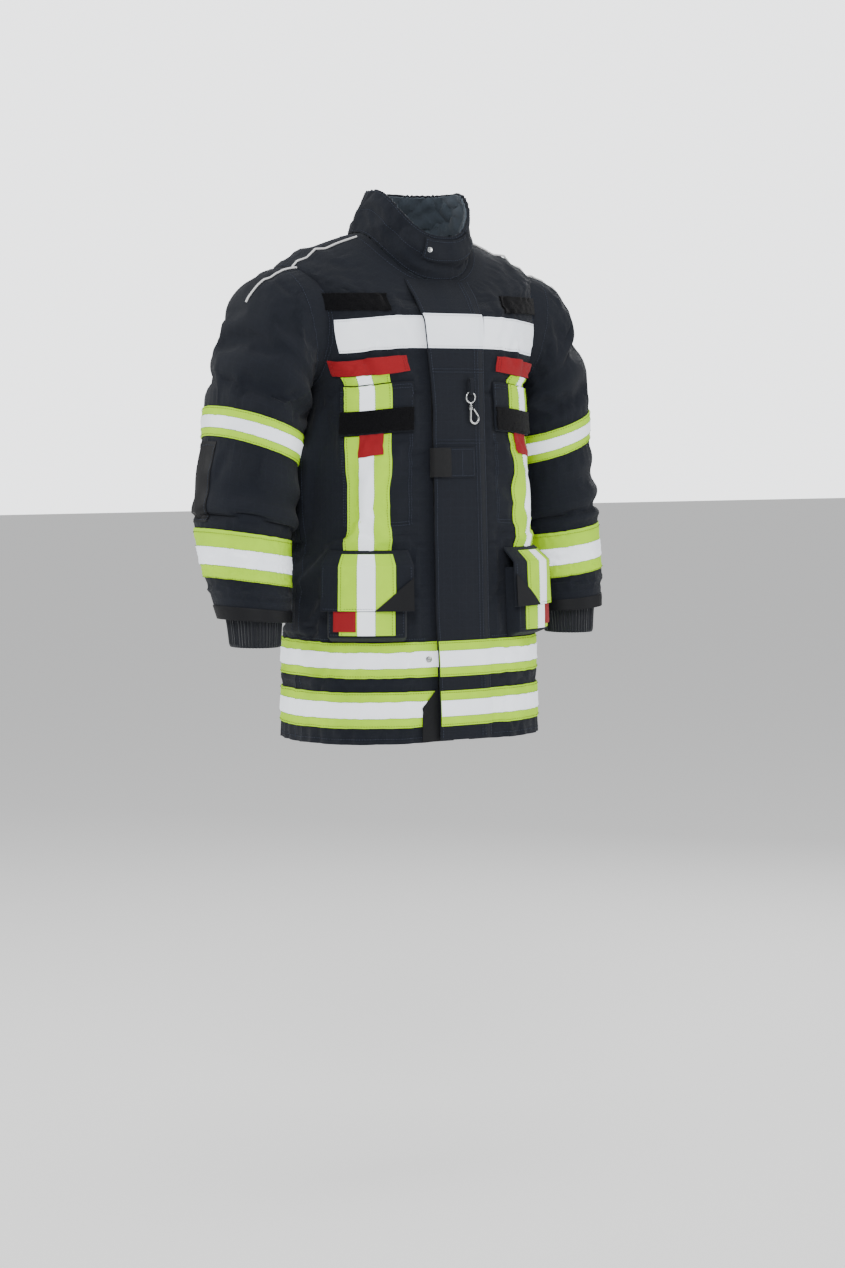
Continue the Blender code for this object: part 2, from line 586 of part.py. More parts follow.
def sleeve_skin(rings, side):
    """A sleeve's surface from its rings; its columns are turns from the outer side towards the front."""

    def place(row, turn):
        i = min(int(row), len(rings) - 2)
        share = row - i
        (ax, az), (bx, bz), deep, middle = (
            np.array(p) * (1 - share) + np.array(q) * share for p, q in zip(rings[i], rings[i + 1])
        )
        t = math.radians(turn)
        x = (ax + bx) / 2 + (bx - ax) / 2 * math.cos(t)
        z = (az + bz) / 2 + (bz - az) / 2 * math.cos(t) - HEM_HEIGHT
        return side * x, middle - deep * math.sin(t), z

    step = 360 / RING_SIDES
    return Skin(list(range(len(rings))), [k * step for k in range(RING_SIDES + 1)], place)


def ring_around(skin, rows, low, high):
    """A closed tube on a skin, between two lifts."""
    rows = [rows[0], *(r for r in skin.rows if rows[0] < r < rows[1]), rows[1]]
    turns = skin.columns[:-1]
    return [[[skin.point(r, t, lift) for t in turns] for r in rows] for lift in (high, low)]


SLEEVE_CLOTH, WRISTLET_CLOTH = 0.0035, 0.002
WRISTLET = (
    ((0.2486, 0.9680), (0.3616, 0.9780), 0.0605, -0.010),
    ((0.2620, 0.9450), (0.3500, 0.9500), 0.0500, -0.018),
    ((0.2660, 0.9050), (0.3460, 0.9050), 0.0440, -0.022),
)
for side, word in ((-1, "right"), (1, "left")):
    shoulder_at = Vector((side * SHOULDER.x, SHOULDER.y, SHOULDER.z))
    shoulder = empty(f"axis_shoulder_{word}", shoulder_at, Matrix.Rotation(math.radians(90), 4, "Z"), hanger)
    upper = sleeve_skin(UPPER_SLEEVE, side)
    low, high = (-SLEEVE_CLOTH, 0)
    signs = 1 if (upper.lift[5][4] @ Vector((0, -1, 0))) > 0 else -1
    tube = slab(*ring_around(upper, (0, 9), signs * low, signs * high), closed=True)
    add(f"upper_sleeve_{word}", tube, NAVY, on=shoulder)
    band = slab(*ring_around(upper, (7, 8), signs * TRIM_LIFT, signs * (TRIM_LIFT + TAPE)), closed=True)
    add(f"upper_band_{word}", band, YELLOW, 0.6, on=shoulder)

    elbow_at = Vector((side * ELBOW.x, ELBOW.y, ELBOW.z))
    elbow = empty(f"axis_elbow_{word}", elbow_at, Matrix.Rotation(-side * ELBOW_TILT, 4, "Y"), hanger)
    fore = sleeve_skin(FOREARM, side)
    grids = ring_around(fore, (0, 5), signs * low, signs * high)
    for grid in grids:
        for p in grid[0]:
            p.z -= math.tan(ELBOW_NOTCH) * max(0.0, ELBOW.y - p.y) + GAP
    add(f"forearm_sleeve_{word}", slab(*grids, closed=True), NAVY, on=elbow)
    band = slab(*ring_around(fore, (2, 4), signs * TRIM_LIFT, signs * (TRIM_LIFT + TAPE)), closed=True)
    add(f"lower_band_{word}", band, YELLOW, 0.6, on=elbow)
    cuff = sleeve_skin(WRISTLET, side)
    knit = slab(*ring_around(cuff, (0, 2), -signs * WRISTLET_CLOTH, 0), closed=True)
    add(f"wristlet_{word}", knit, KNIT, on=elbow)
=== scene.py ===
"""A firefighter's turnout coat, cut, sewn and trimmed around its frame.

Lengths are metres. The coat faces -Y and its wearer's right is -X. Heights are measured from the hem.
"""

import contextlib
import math

import bpy
import numpy as np
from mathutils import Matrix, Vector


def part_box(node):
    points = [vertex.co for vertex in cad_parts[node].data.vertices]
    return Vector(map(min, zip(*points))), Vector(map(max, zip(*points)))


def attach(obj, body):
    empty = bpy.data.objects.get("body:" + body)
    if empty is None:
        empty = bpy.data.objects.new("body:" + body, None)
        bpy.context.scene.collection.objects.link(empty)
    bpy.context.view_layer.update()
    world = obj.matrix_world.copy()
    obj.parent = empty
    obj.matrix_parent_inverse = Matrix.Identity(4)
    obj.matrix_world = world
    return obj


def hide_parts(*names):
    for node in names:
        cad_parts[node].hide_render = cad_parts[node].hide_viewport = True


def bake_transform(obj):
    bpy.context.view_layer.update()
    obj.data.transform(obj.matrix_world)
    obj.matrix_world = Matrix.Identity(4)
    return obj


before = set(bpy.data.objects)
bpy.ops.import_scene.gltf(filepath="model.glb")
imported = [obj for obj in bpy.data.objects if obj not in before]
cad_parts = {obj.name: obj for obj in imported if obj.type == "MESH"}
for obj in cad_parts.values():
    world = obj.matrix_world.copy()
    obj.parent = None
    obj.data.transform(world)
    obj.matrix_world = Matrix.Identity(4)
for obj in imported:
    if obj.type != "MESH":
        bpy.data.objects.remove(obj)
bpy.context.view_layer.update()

# ------------------------------------------------------------
# Shell panels. The outer shell is a back and two fronts of navy aramid twill, sewn at the sides and
# shoulders. The whole body is first draped as one wrap, from front edge to front edge, so that folds run
# over the seams.
PEG = np.array((0.0, 0.074, 0.786))  # where the hanger loop bears on its peg
ROUNDNESS = 2 / 2.6
FRONT_EDGE = 1.9
# height, half width, front depth, back depth, y of the widest line, drop at the front
SECTIONS = np.array((
    (-0.012, 0.2152, 0.1525, 0.150, 0.000, 0.000),
    (0.000, 0.215, 0.1520, 0.150, 0.000, 0.000),
    (0.150, 0.212, 0.1456, 0.150, 0.000, 0.000),
    (0.300, 0.208, 0.1392, 0.150, 0.000, 0.000),
    (0.440, 0.202, 0.1333, 0.151, 0.006, 0.000),
    (0.500, 0.196, 0.1307, 0.156, 0.012, 0.000),
    (0.550, 0.194, 0.1286, 0.162, 0.016, 0.000),
    (0.600, 0.212, 0.1265, 0.167, 0.020, 0.000),
    (0.658, 0.226, 0.1240, 0.165, 0.022, 0.000),
    (0.742, 0.226, 0.1050, 0.128, 0.025, 0.052),
    (0.773, 0.172, 0.0967, 0.112, 0.024, 0.069),
    (0.789, 0.130, 0.0913, 0.102, 0.020, 0.076),
    (0.801, 0.092, 0.0860, 0.090, 0.015, 0.079),
))
HEM, NECK = SECTIONS[0][0], SECTIONS[-1][0]
ARMHOLE_Y, ARMHOLE_HEIGHT, ARMHOLE = 0.025, 0.646, 0.0885
SHELL = 0.003


def through(keys, values, at):
    """A table's values at the keys asked for, smooth between its rows and never past them."""
    keys, values, at = (np.asarray(a, float) for a in (keys, values, at))
    step = np.diff(keys)[:, None]
    slope = np.diff(values, axis=0) / step
    a, b = slope[:-1], slope[1:]
    inner = np.divide(2 * a * b, a + b, out=np.zeros_like(a), where=a * b > 0)
    tangent = np.concatenate([slope[:1], inner, slope[-1:]])
    i = np.clip(np.searchsorted(keys, at) - 1, 0, len(keys) - 2)
    t = ((at - keys[i]) / step[i, 0])[..., None]
    s = step[i]
    return (
        values[i] * (1 + 2 * t) * (1 - t) ** 2 + values[i + 1] * t**2 * (3 - 2 * t)
        + tangent[i] * s * t * (1 - t) ** 2 - tangent[i + 1] * s * t**2 * (1 - t)
    )


def soft_step(low, high, at):
    t = np.clip((at - low) / (high - low), 0, 1)
    return t * t * (3 - 2 * t)


def oval(turn, wide, front, back, middle, height, drop):
    """A point on a rounded oval; turns are degrees from the middle of the front to the wearer's left."""
    s, c = np.sin(np.radians(turn)), np.cos(np.radians(turn))
    x = np.sign(s) * wide * np.abs(s) ** ROUNDNESS
    deep = np.where(c > 0, front + middle, back - middle)
    y = middle - np.sign(c) * deep * np.abs(c) ** ROUNDNESS
    return np.stack([x, y, height - drop * np.maximum(c, 0) ** 1.5], -1)


def body_form(height, turn):
    height, turn = np.broadcast_arrays(np.asarray(height, float), np.asarray(turn, float))
    wide, front, back, middle, drop = np.moveaxis(through(SECTIONS[:, 0], SECTIONS[:, 1:], height), -1, 0)
    point = oval(turn, wide, front, back, middle, height, drop)
    away = np.minimum(np.abs(turn), 360 - np.abs(turn))
    sag = soft_step(12, 57, away) * (1 - soft_step(57, 88, away))
    sag *= soft_step(0.36, 0.50, height) * (1 - soft_step(0.66, 0.76, height))
    point[..., 2] -= 0.009 * sag
    return point


class Form:
    """A surface as a grid of points, read between its rows and columns and lifted squarely off itself."""

    def __init__(self, rows, columns, points, around=False, side=1):
        self.rows, self.columns, self.around, self.side = np.asarray(rows), np.asarray(columns), around, side
        self.shape(points)

    def shape(self, points):
        self.points = points
        wrapped = np.concatenate([points[:, -2:-1], points, points[:, 1:2]], 1) if self.around else points
        along = np.gradient(wrapped, axis=1)
        along = along[:, 1:-1] if self.around else along
        normals = np.cross(along, np.gradient(points, axis=0)) * self.side
        self.normals = normals / np.linalg.norm(normals, axis=2, keepdims=True)

    def read(self, grid, row, column):
        r = np.interp(row, self.rows, np.arange(len(self.rows)))
        c = np.interp(column, self.columns, np.arange(len(self.columns)))
        i = np.minimum(r.astype(int), len(self.rows) - 2)
        j = np.minimum(c.astype(int), len(self.columns) - 2)
        v, u = (r - i)[..., None], (c - j)[..., None]
        low = grid[i, j] * (1 - u) + grid[i, j + 1] * u
        high = grid[i + 1, j] * (1 - u) + grid[i + 1, j + 1] * u
        return low * (1 - v) + high * v

    def at(self, row, column, lift=0.0):
        row, column, lift = np.broadcast_arrays(*(np.asarray(a, float) for a in (row, column, lift)))
        normal = self.read(self.normals, row, column)
        normal /= np.linalg.norm(normal, axis=-1, keepdims=True)
        return self.read(self.points, row, column) + lift[..., None] * normal

    def size(self, rows, columns):
        """The width and the height of a span of the surface, measured over it."""
        r, c = np.linspace(*rows, 60), np.linspace(*columns, 60)
        across = self.at(np.full(60, np.mean(rows)), c)
        up = self.at(r, np.full(60, np.mean(columns)))
        return [float(np.linalg.norm(np.diff(line, axis=0), axis=1).sum()) for line in (across, up)]


def only(piece):
    bpy.ops.object.select_all(action="DESELECT")
    piece.select_set(True)
    bpy.context.view_layer.objects.active = piece


def cloth_grid(name, across, up, place):
    """A square grid of cloth moved onto its form; place(u, v) gives its points and flat sizes."""
    bpy.ops.object.select_all(action="DESELECT")
    bpy.ops.mesh.primitive_grid_add(x_subdivisions=across, y_subdivisions=up, size=2)
    piece = bpy.context.active_object
    piece.name = piece.data.name = name
    co = np.empty(len(piece.data.vertices) * 3)
    piece.data.vertices.foreach_get("co", co)
    u, v = (co.reshape(-1, 3)[:, :2].T + 1) / 2
    points, flat = place(u, v)
    piece.data.vertices.foreach_set("co", (points - PEG).ravel())
    corner = np.empty(len(piece.data.loops), int)
    piece.data.loops.foreach_get("vertex_index", corner)
    piece.data.uv_layers[0].data.foreach_set("uv", flat[corner].ravel())
    piece.data.update()
    return piece


def apply(piece, kind, **settings):
    """Adds a modifier and applies it."""
    only(piece)
    made = piece.modifiers.new(kind.lower(), kind)
    for key, value in settings.items():
        setattr(made, key, value)
    bpy.ops.object.modifier_apply(modifier=made.name)


def thicken(piece, thick, round_edge=0.0):
    """Gives cloth its thickness, outwards, and rounds its cut edges."""
    apply(piece, "SOLIDIFY", thickness=thick, offset=1, use_even_offset=False)
    if round_edge:
        sharp = {"limit_method": "ANGLE", "angle_limit": math.radians(50)}
        apply(piece, "BEVEL", width=round_edge, segments=2, **sharp)
    bpy.ops.object.shade_smooth_by_angle(angle=math.radians(42))


@contextlib.contextmanager
def editing(piece):
    """Edit mode with the whole piece selected."""
    only(piece)
    bpy.ops.object.mode_set(mode="EDIT")
    bpy.ops.mesh.select_all(action="SELECT")
    yield
    bpy.ops.object.mode_set(mode="OBJECT")


def flip(piece):
    with editing(piece):
        bpy.ops.mesh.flip_normals()


def patch(name, form, rows, columns, lift, thick, step=0.006, round_edge=0.0):
    """A piece of cloth on a form. Rows may be functions of the column, and the lift one of row and column."""
    low, high = (r if callable(r) else (lambda c, r=r: np.full_like(c, r)) for r in rows)
    ends = np.array(columns, float)
    wide, tall = form.size((float(low(ends).min()), float(high(ends).max())), columns)

    def place(u, v):
        column = columns[0] + (columns[1] - columns[0]) * u
        row = low(column) * (1 - v) + high(column) * v
        height = lift(row, column) if callable(lift) else lift
        return form.at(row, column, height), np.stack([u * wide, v * tall], -1)

    piece = cloth_grid(name, max(2, round(wide / step)), max(2, round(tall / step)), place)
    if form.side < 0:
        flip(piece)
    thicken(piece, thick, round_edge)
    return piece


DRAPE_FRAMES, CLOTH_STIFF = 16, 15.0


def drape(form, pinned, grow, cap, bend=0.6):
    """Lets cloth buckle a little between its seams: it grows by a share, and no point moves past the cap."""
    rows, columns = len(form.rows), len(form.columns)

    def place(u, v):
        i, j = np.rint(v * (rows - 1)).astype(int), np.rint(u * (columns - 1)).astype(int)
        return form.points[i, j], np.stack([u, v], -1)

    wrap = cloth_grid("wrap", columns - 1, rows - 1, place)
    start = form.points - PEG
    if form.around:
        with editing(wrap):
            bpy.ops.mesh.remove_doubles(threshold=0.00001)
    co = np.empty(len(wrap.data.vertices) * 3)
    wrap.data.vertices.foreach_get("co", co)
    co = co.reshape(-1, 3)
    order = {tuple(key): k for k, key in enumerate(np.rint(co * 1e5).astype(int))}
    index = np.array([[order.get(tuple(key), -1) for key in row] for row in np.rint(start * 1e5).astype(int)])
    for i, j in np.argwhere(index < 0):
        index[i, j] = int(np.argmin(((co - start[i, j]) ** 2).sum(1)))
    weights = np.zeros(len(co))
    weights[index] = pinned
    group = wrap.vertex_groups.new(name="sewn")
    for level in np.unique(np.rint(weights * 20)):
        if level:
            group.add([int(k) for k in np.flatnonzero(np.rint(weights * 20) == level)], level / 20, "REPLACE")
    made = wrap.modifiers.new("cloth", "CLOTH")
    s = made.settings
    s.vertex_group_mass, s.shrink_min, s.quality, s.mass = "sewn", -grow, 5, 0.25
    s.tension_stiffness = s.compression_stiffness = CLOTH_STIFF
    s.shear_stiffness, s.bending_stiffness, s.effector_weights.gravity = CLOTH_STIFF / 3, bend, 0.15
    made.point_cache.frame_start, made.point_cache.frame_end = 1, DRAPE_FRAMES
    for f in range(1, DRAPE_FRAMES + 1):
        bpy.context.scene.frame_set(f)
    moved = wrap.evaluated_get(bpy.context.evaluated_depsgraph_get()).data
    co2 = np.empty(len(moved.vertices) * 3)
    moved.vertices.foreach_get("co", co2)
    shift = (co2.reshape(-1, 3) - co)[index]
    far = np.linalg.norm(shift, axis=2, keepdims=True)
    shift *= np.minimum(1, cap / np.maximum(far, 1e-9))
    form.shape(form.points + shift)
    bpy.data.objects.remove(wrap)
    bpy.context.scene.frame_set(1)


def equal_turns(low, high, count):
    """Turns that lie the same distance apart over the body."""
    turns = np.linspace(low, high, 2000)
    line = body_form(np.full(2000, 0.40), turns)
    along = np.concatenate([[0], np.cumsum(np.linalg.norm(np.diff(line, axis=0), axis=1))])
    return np.interp(np.linspace(0, along[-1], count), along, turns)


def seam_free(form):
    """How firmly each point is held: most at the neck, the armholes, the front edges and the stiff tapes."""
    row, turn = np.meshgrid(form.rows, form.columns, indexing="ij")
    y, z, x = form.points[..., 1], form.points[..., 2], np.abs(form.points[..., 0])
    hole = np.hypot(y - ARMHOLE_Y, z - ARMHOLE_HEIGHT)
    held = np.where(x > 0.10, 1 - soft_step(ARMHOLE + 0.01, ARMHOLE + 0.07, hole), 0.0)
    away = np.minimum(turn, 360 - turn)
    held = np.maximum(held, 1 - soft_step(9, 22, away))
    held = np.maximum(held, soft_step(0.755, 0.785, row))
    for low, high, inner, outer in ((0.480, 0.560, 18, 59), (0.155, 0.290, 20, 67)):
        under = soft_step(low - 0.02, low, row) * (1 - soft_step(high, high + 0.02, row))
        under = 0.9 * under * soft_step(inner - 5, inner, away) * (1 - soft_step(outer, outer + 6, away))
        held = np.maximum(held, under)
    for low, high in ((0.000, 0.075), (0.090, 0.150), (0.605, 0.675)):
        tape = 0.35 * soft_step(low - 0.02, low + 0.01, row) * (1 - soft_step(high, high + 0.03, row))
        held = np.maximum(held, tape)
    return held


turns = equal_turns(FRONT_EDGE, 360 - FRONT_EDGE, 150)
heights = np.linspace(HEM, NECK, 102)
body = Form(heights, turns, body_form(heights[:, None], turns[None, :]))
steady = Form(heights, turns, body.points)  # the same wrap without folds, for what stands off it
drape(body, seam_free(body), grow=0.045, cap=0.009)


def linear(shade):
    """An sRGB hex value as linear light."""
    parts = np.array([(shade >> shift & 255) / 255 for shift in (16, 8, 0)])
    return (*np.where(parts <= 0.04045, parts / 12.92, ((parts + 0.055) / 1.055) ** 2.4), 1.0)


def node(tree, kind, links=(), **settings):
    """Adds a node with its settings, and links or values for its inputs."""
    made = tree.nodes.new(kind)
    for key, value in settings.items():
        setattr(made, key, value)
    for key, value in dict(links).items():
        if isinstance(value, bpy.types.NodeSocket):
            tree.links.new(value, made.inputs[key])
        else:
            made.inputs[key].default_value = value
    return made


def new_material(name, **sockets):
    """A material with its shader, and values that are the same all over set on the shader's own sockets."""
    made = bpy.data.materials.new(name)
    made.use_nodes = True
    tree = made.node_tree
    for key, value in sockets.items():
        tree.nodes["Principled BSDF"].inputs[key.replace("_", " ")].default_value = value
    return made, tree


def maths(tree, operation, *values):
    return node(tree, "ShaderNodeMath", dict(enumerate(values)), operation=operation).outputs[0]


def noise(tree, spot, scale, detail, **more):
    values = {"Vector": spot.outputs["Object"], "Scale": scale, "Detail": detail, **more}
    return node(tree, "ShaderNodeTexNoise", values).outputs["Fac"]


def ribs(tree, spot, pitch, way, **more):
    """Bands over the flat cloth, a pitch in metres apart."""
    values = {"Vector": spot.outputs["UV"], "Scale": 0.628 / pitch, **more}
    return node(tree, "ShaderNodeTexWave", values, wave_type="BANDS", bands_direction=way).outputs["Fac"]


def mixed(tree, factor, low, high):
    return node(tree, "ShaderNodeMix", {"Factor": factor, 6: low, 7: high}, data_type="RGBA").outputs[2]


def surface(made, colour, roughness, height, relief, deep, **settings):
    """Links a material's colour, roughness and bump to its shader."""
    tree = made.node_tree
    bump = node(tree, "ShaderNodeBump", {"Height": height, "Strength": relief, "Distance": deep}, **settings)
    for key, value in (("Base Color", colour), ("Roughness", roughness), ("Normal", bump.outputs["Normal"])):
        if value is not None:
            tree.links.new(value, tree.nodes["Principled BSDF"].inputs[key])
    return made


def woven(name, light, dark, thread, rough, sheen, check=0.0):
    """Woven cloth: fine diagonal ribs a thread apart, a ripstop check, and colour that is a little uneven."""
    made, tree = new_material(name, Sheen_Weight=sheen, Sheen_Roughness=0.45, Specular_IOR_Level=0.35)
    spot = node(tree, "ShaderNodeTexCoord")
    rib = ribs(tree, spot, thread, "DIAGONAL", Distortion=0.4, Detail=1.0, **{"Detail Scale": 0.2})
    cloud = noise(tree, spot, 9.0, 6.0, Roughness=0.62)
    fuzz = noise(tree, spot, 900.0, 2.0)
    tone = maths(tree, "MULTIPLY", cloud, 0.35)
    tone = maths(tree, "MULTIPLY_ADD", rib, 0.35, tone)
    tone = maths(tree, "MULTIPLY_ADD", fuzz, 0.30, tone)
    height = maths(tree, "MULTIPLY_ADD", fuzz, 0.5, rib)
    if check:
        flat = node(tree, "ShaderNodeSeparateXYZ", {0: spot.outputs["UV"]}).outputs
        lines = []
        for axis in (0, 1):
            cell = maths(tree, "PINGPONG", flat[axis], check)
            lines.append(maths(tree, "LESS_THAN", cell, check * 0.09))
        both = maths(tree, "MAXIMUM", *lines)
        tone = maths(tree, "MULTIPLY_ADD", both, 0.10, tone)
        height = maths(tree, "MULTIPLY_ADD", both, 0.8, height)
    colour = mixed(tree, tone, linear(dark), linear(light))
    roughness = maths(tree, "MULTIPLY_ADD", cloud, 0.2, rough - 0.1)
    return surface(made, colour, roughness, height, 0.5, 0.0004)


# Aramid ripstop twill, piece dyed navy: dull, with a faint sheen of loose fibre. The real ribs are 0.5 mm
# apart and are drawn 1.8 mm apart so that they show.
navy_twill = woven("navy_aramid_twill", 0x171D29, 0x06080E, 0.0018, 0.88, 0.05, check=0.007)


def dress(piece, material, rider=None, nodes=()):
    """Gives a piece its material and slot, its body, or a function run on it, and the nodes that it stands
    for.
    """
    piece.data.materials.clear()
    piece.data.materials.append(material)
    if isinstance(rider, str):
        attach(piece, rider)
    if nodes:
        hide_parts(*nodes)
    if callable(rider):
        rider(piece)
    return piece


def cloth(name, material, rider, nodes, *cut):
    """A piece of cloth cut and laid by patch, then dressed."""
    return dress(patch(name, *cut), material, rider, nodes)


def cut_armhole(piece):
    """Takes away the faces inside the armhole and rounds the edge that is left."""
    mesh = piece.data
    centre = np.array((ARMHOLE_Y, ARMHOLE_HEIGHT)) - PEG[1:]
    only(piece)
    mesh.vertices.foreach_set("select", [False] * len(mesh.vertices))
    mesh.edges.foreach_set("select", [False] * len(mesh.edges))
    for f in mesh.polygons:
        reach = math.hypot(f.center.y - centre[0], f.center.z - centre[1])
        f.select = abs(f.center.x) > 0.1 and reach < ARMHOLE
    bpy.ops.object.mode_set(mode="EDIT")
    bpy.ops.mesh.select_mode(type="FACE")
    bpy.ops.mesh.delete(type="FACE")
    bpy.ops.object.mode_set(mode="OBJECT")
    for v in mesh.vertices:
        reach = math.hypot(v.co.y - centre[0], v.co.z - centre[1])
        if abs(v.co.x) > 0.1 and reach < ARMHOLE + 0.0035:
            v.co.y = centre[0] + (v.co.y - centre[0]) * ARMHOLE / reach
            v.co.z = centre[1] + (v.co.z - centre[1]) * ARMHOLE / reach


def body_panel(name, form, rows, columns, lift, thick, step):
    wide, tall = form.size(rows, columns)

    def place(u, v):
        row, column = rows[0] + (rows[1] - rows[0]) * v, columns[0] + (columns[1] - columns[0]) * u
        height = lift(row, column) if callable(lift) else lift
        return form.at(row, column, height), np.stack([u * wide, v * tall], -1)

    piece = cloth_grid(name, round(wide / step), round(tall / step), place)
    cut_armhole(piece)
    thicken(piece, thick)
    return piece


for word, span, flat, area in (
    ("back", (90, 270), (0.62, 0.86), 0.45),
    ("front_left", (FRONT_EDGE, 90), (0.31, 0.84), 0.215),
    ("front_right", (270, 360 - FRONT_EDGE), (0.31, 0.84), 0.215),
):
    panel = body_panel(f"panel_{word}", body, (HEM, NECK), span, -SHELL, SHELL, 0.0045)
    dress(panel, navy_twill, "torso", [f"shell_{word}"])

# ------------------------------------------------------------
# Stitching of the shell. Every seam is run twice with thick aramid thread, each stitch 3 mm long, and the
# thread is one bead modelled once and copied along the seam.
STITCH, STITCH_PITCH, THREAD, THREAD_LIFT = 0.0032, 0.0044, 0.0010, 0.0004
RUN = 240  # points to a line


def line_grid(rows, columns):
    return (np.linspace(*a, RUN) if isinstance(a, tuple) else np.full(RUN, float(a)) for a in (rows, columns))


def run(form, rows, columns, lift=THREAD_LIFT):
    """A line over a form, between two rows or columns: its points and its normals."""
    r, c = line_grid(rows, columns)
    normal = form.read(form.normals, r, c)
    return form.at(r, c, lift), normal / np.linalg.norm(normal, axis=1, keepdims=True)


def runs(form, rows, columns, lift=THREAD_LIFT):
    """A line for each row with each column."""
    return [run(form, r, c, lift) for r in rows for c in columns]


def stitched(name, lines, material, rider=None):
    """Rows of stitches along lines."""
    bpy.ops.object.select_all(action="DESELECT")
    bpy.ops.mesh.primitive_ico_sphere_add(subdivisions=1, radius=1)
    bead = bpy.context.active_object
    corners = np.array([v.co for v in bead.data.vertices])
    faces = np.array([list(p.vertices) for p in bead.data.polygons])
    size = np.array((STITCH / 2, THREAD / 2, THREAD / 2))[:, None]
    made, tris = [], []
    for points, normals in lines:
        along = np.concatenate([[0], np.cumsum(np.linalg.norm(np.diff(points, axis=0), axis=1))])
        at = np.arange(STITCH_PITCH / 2, along[-1] - STITCH / 2, STITCH_PITCH)
        place, ahead, behind, up = (
            np.stack([np.interp(at + shift, along, line[:, k]) for k in range(3)], 1)
            for shift, line in ((0, points), (0.001, points), (-0.001, points), (0, normals))
        )
        ahead = (ahead - behind) / np.linalg.norm(ahead - behind, axis=1, keepdims=True)
        aside = np.cross(up, ahead)
        for p, a, s, n in zip(place, ahead, aside, up):
            tris.append(faces + len(made) * len(corners))
            made.append(p + corners @ (size * np.array([a, s, n])))
    mesh = bpy.data.meshes.new(name)
    mesh.from_pydata((np.concatenate(made) - PEG).tolist(), [], np.concatenate(tris).tolist())
    bead.data = mesh
    bead.name = name
    only(bead)
    bpy.ops.object.shade_smooth()
    return dress(bead, material, rider)


def plain(name, shade, rough, **sockets):
    """One colour, a little uneven, for thread and small moulded parts."""
    made, tree = new_material(name, **sockets)
    grain = noise(tree, node(tree, "ShaderNodeTexCoord"), 420.0, 3.0)
    dark = tuple(0.6 * c for c in linear(shade)[:3]) + (1.0,)
    colour = mixed(tree, grain, dark, linear(shade))
    roughness = maths(tree, "MULTIPLY_ADD", grain, 0.2, rough - 0.1)
    return surface(made, colour, roughness, grain, 0.3, 0.0002)


# Spun aramid thread, dyed navy: it catches a little more light than the cloth.
navy_thread = plain("navy_thread", 0x363F52, 0.7)


SIDES = ((-1, "right"), (1, "left"))


def turned(side, low, high):
    """A stretch of turns on the wearer's right (-1) or left (1)."""
    return (low, high) if side > 0 else (360 - high, 360 - low)


def turns_at(side, *columns):
    return [turned(side, c, c)[0] for c in columns]


beside_seam = (90 - 1.6, 90 + 1.6, 270 - 1.6, 270 + 1.6)
seams = []
for column in beside_seam:
    seams += runs(body, ((HEM + 0.004, 0.545), (0.745, 0.798)), (column,))
seams += runs(body, (HEM + 0.008, 0.153), ((12, 348),)) + runs(body, (0.668, 0.674), ((122, 238),))
for side in (1, -1):
    seams += runs(body, ((HEM + 0.004, 0.70),), turns_at(side, 4.2, 6.0))
ring = np.radians(np.linspace(0, 360, 241))
for side in (1, -1):
    for grow in (0.0065, 0.011):
        # The armhole's own seam: found on the wrap where its circle crosses the cloth, front and back.
        y = ARMHOLE_Y + (ARMHOLE + grow) * np.cos(ring)
        z = ARMHOLE_HEIGHT + (ARMHOLE + grow) * np.sin(ring)
        on_side = body.points[:, :, 0] * side > 0.12
        grid, normals = body.points[on_side], body.normals[on_side]
        near = np.array([np.argsort((grid[:, 1] - a) ** 2 + (grid[:, 2] - b) ** 2)[:6] for a, b in zip(y, z)])
        gap = (grid[near][..., 1] - y[:, None]) ** 2 + (grid[near][..., 2] - z[:, None]) ** 2
        share = (1 / (gap + 1e-8))[..., None]
        x = (grid[near][..., :1] * share).sum(1) / share.sum(1)
        normal = (normals[near] * share).sum(1) / share.sum(1)
        normal /= np.linalg.norm(normal, axis=1, keepdims=True)
        seams.append((np.stack([x[:, 0], y, z], 1) + 0.0008 * normal, normal))
stitched("shell_seams", seams, navy_thread, "torso")

# ------------------------------------------------------------
# Liner. A thermal felt quilted in diamonds to a grey-blue lining, which hangs inside the shell from the
# neck down to just above the hem and is open at the front.
LINER_LIFT, QUILT, QUILT_DEEP = -0.0082, 0.055, 0.0022
lining_cloth = woven("grey_blue_lining", 0x56616C, 0x303840, 0.0016, 0.8, 0.15)


def quilted(base, around=0.205):
    """A lift with diamond channels sewn in: around is the radius that turns are measured at."""

    def lift(row, column):
        across = np.radians(column) * around
        channels = [np.abs(np.sin(math.pi * (across + s * row) / QUILT)) for s in (1, -1)]
        return base + QUILT_DEEP * (np.minimum(*channels) ** 0.5 - 1)

    return lift


LINER_ROWS, LINER_ARC = (0.030, NECK - 0.001), (14, 346)
liner = body_panel("quilted_liner", body, LINER_ROWS, LINER_ARC, quilted(LINER_LIFT + 0.0022), 0.0020, 0.006)
dress(liner, lining_cloth, "torso", ["torso_liner"])

# ------------------------------------------------------------
# Collar. A tall soft funnel of two cloths, wrapped shut across the throat by a tab on a press stud, with a
# webbing hanger loop inside the back of the neck.
# share of the way up, half width, front depth, back depth, y of the widest line, height, front drop
COLLAR = np.array((
    (0.0, 0.0925, 0.0865, 0.0905, 0.015, 0.8020, 0.079),
    (0.5, 0.0890, 0.0960, 0.0760, 0.000, 0.8380, 0.077),
    (1.0, 0.0790, 0.1000, 0.0520, -0.020, 0.8690, 0.076),
))
shares, round_turns = np.linspace(0, 1, 26), np.linspace(-180, 180, 121)
rings = np.moveaxis(through(COLLAR[:, 0], COLLAR[:, 1:], shares[:, None] + 0 * round_turns), -1, 0)
wide, front, back, middle, height, drop = rings
funnel = oval(round_turns[None, :], wide, front, back, middle, height, drop)
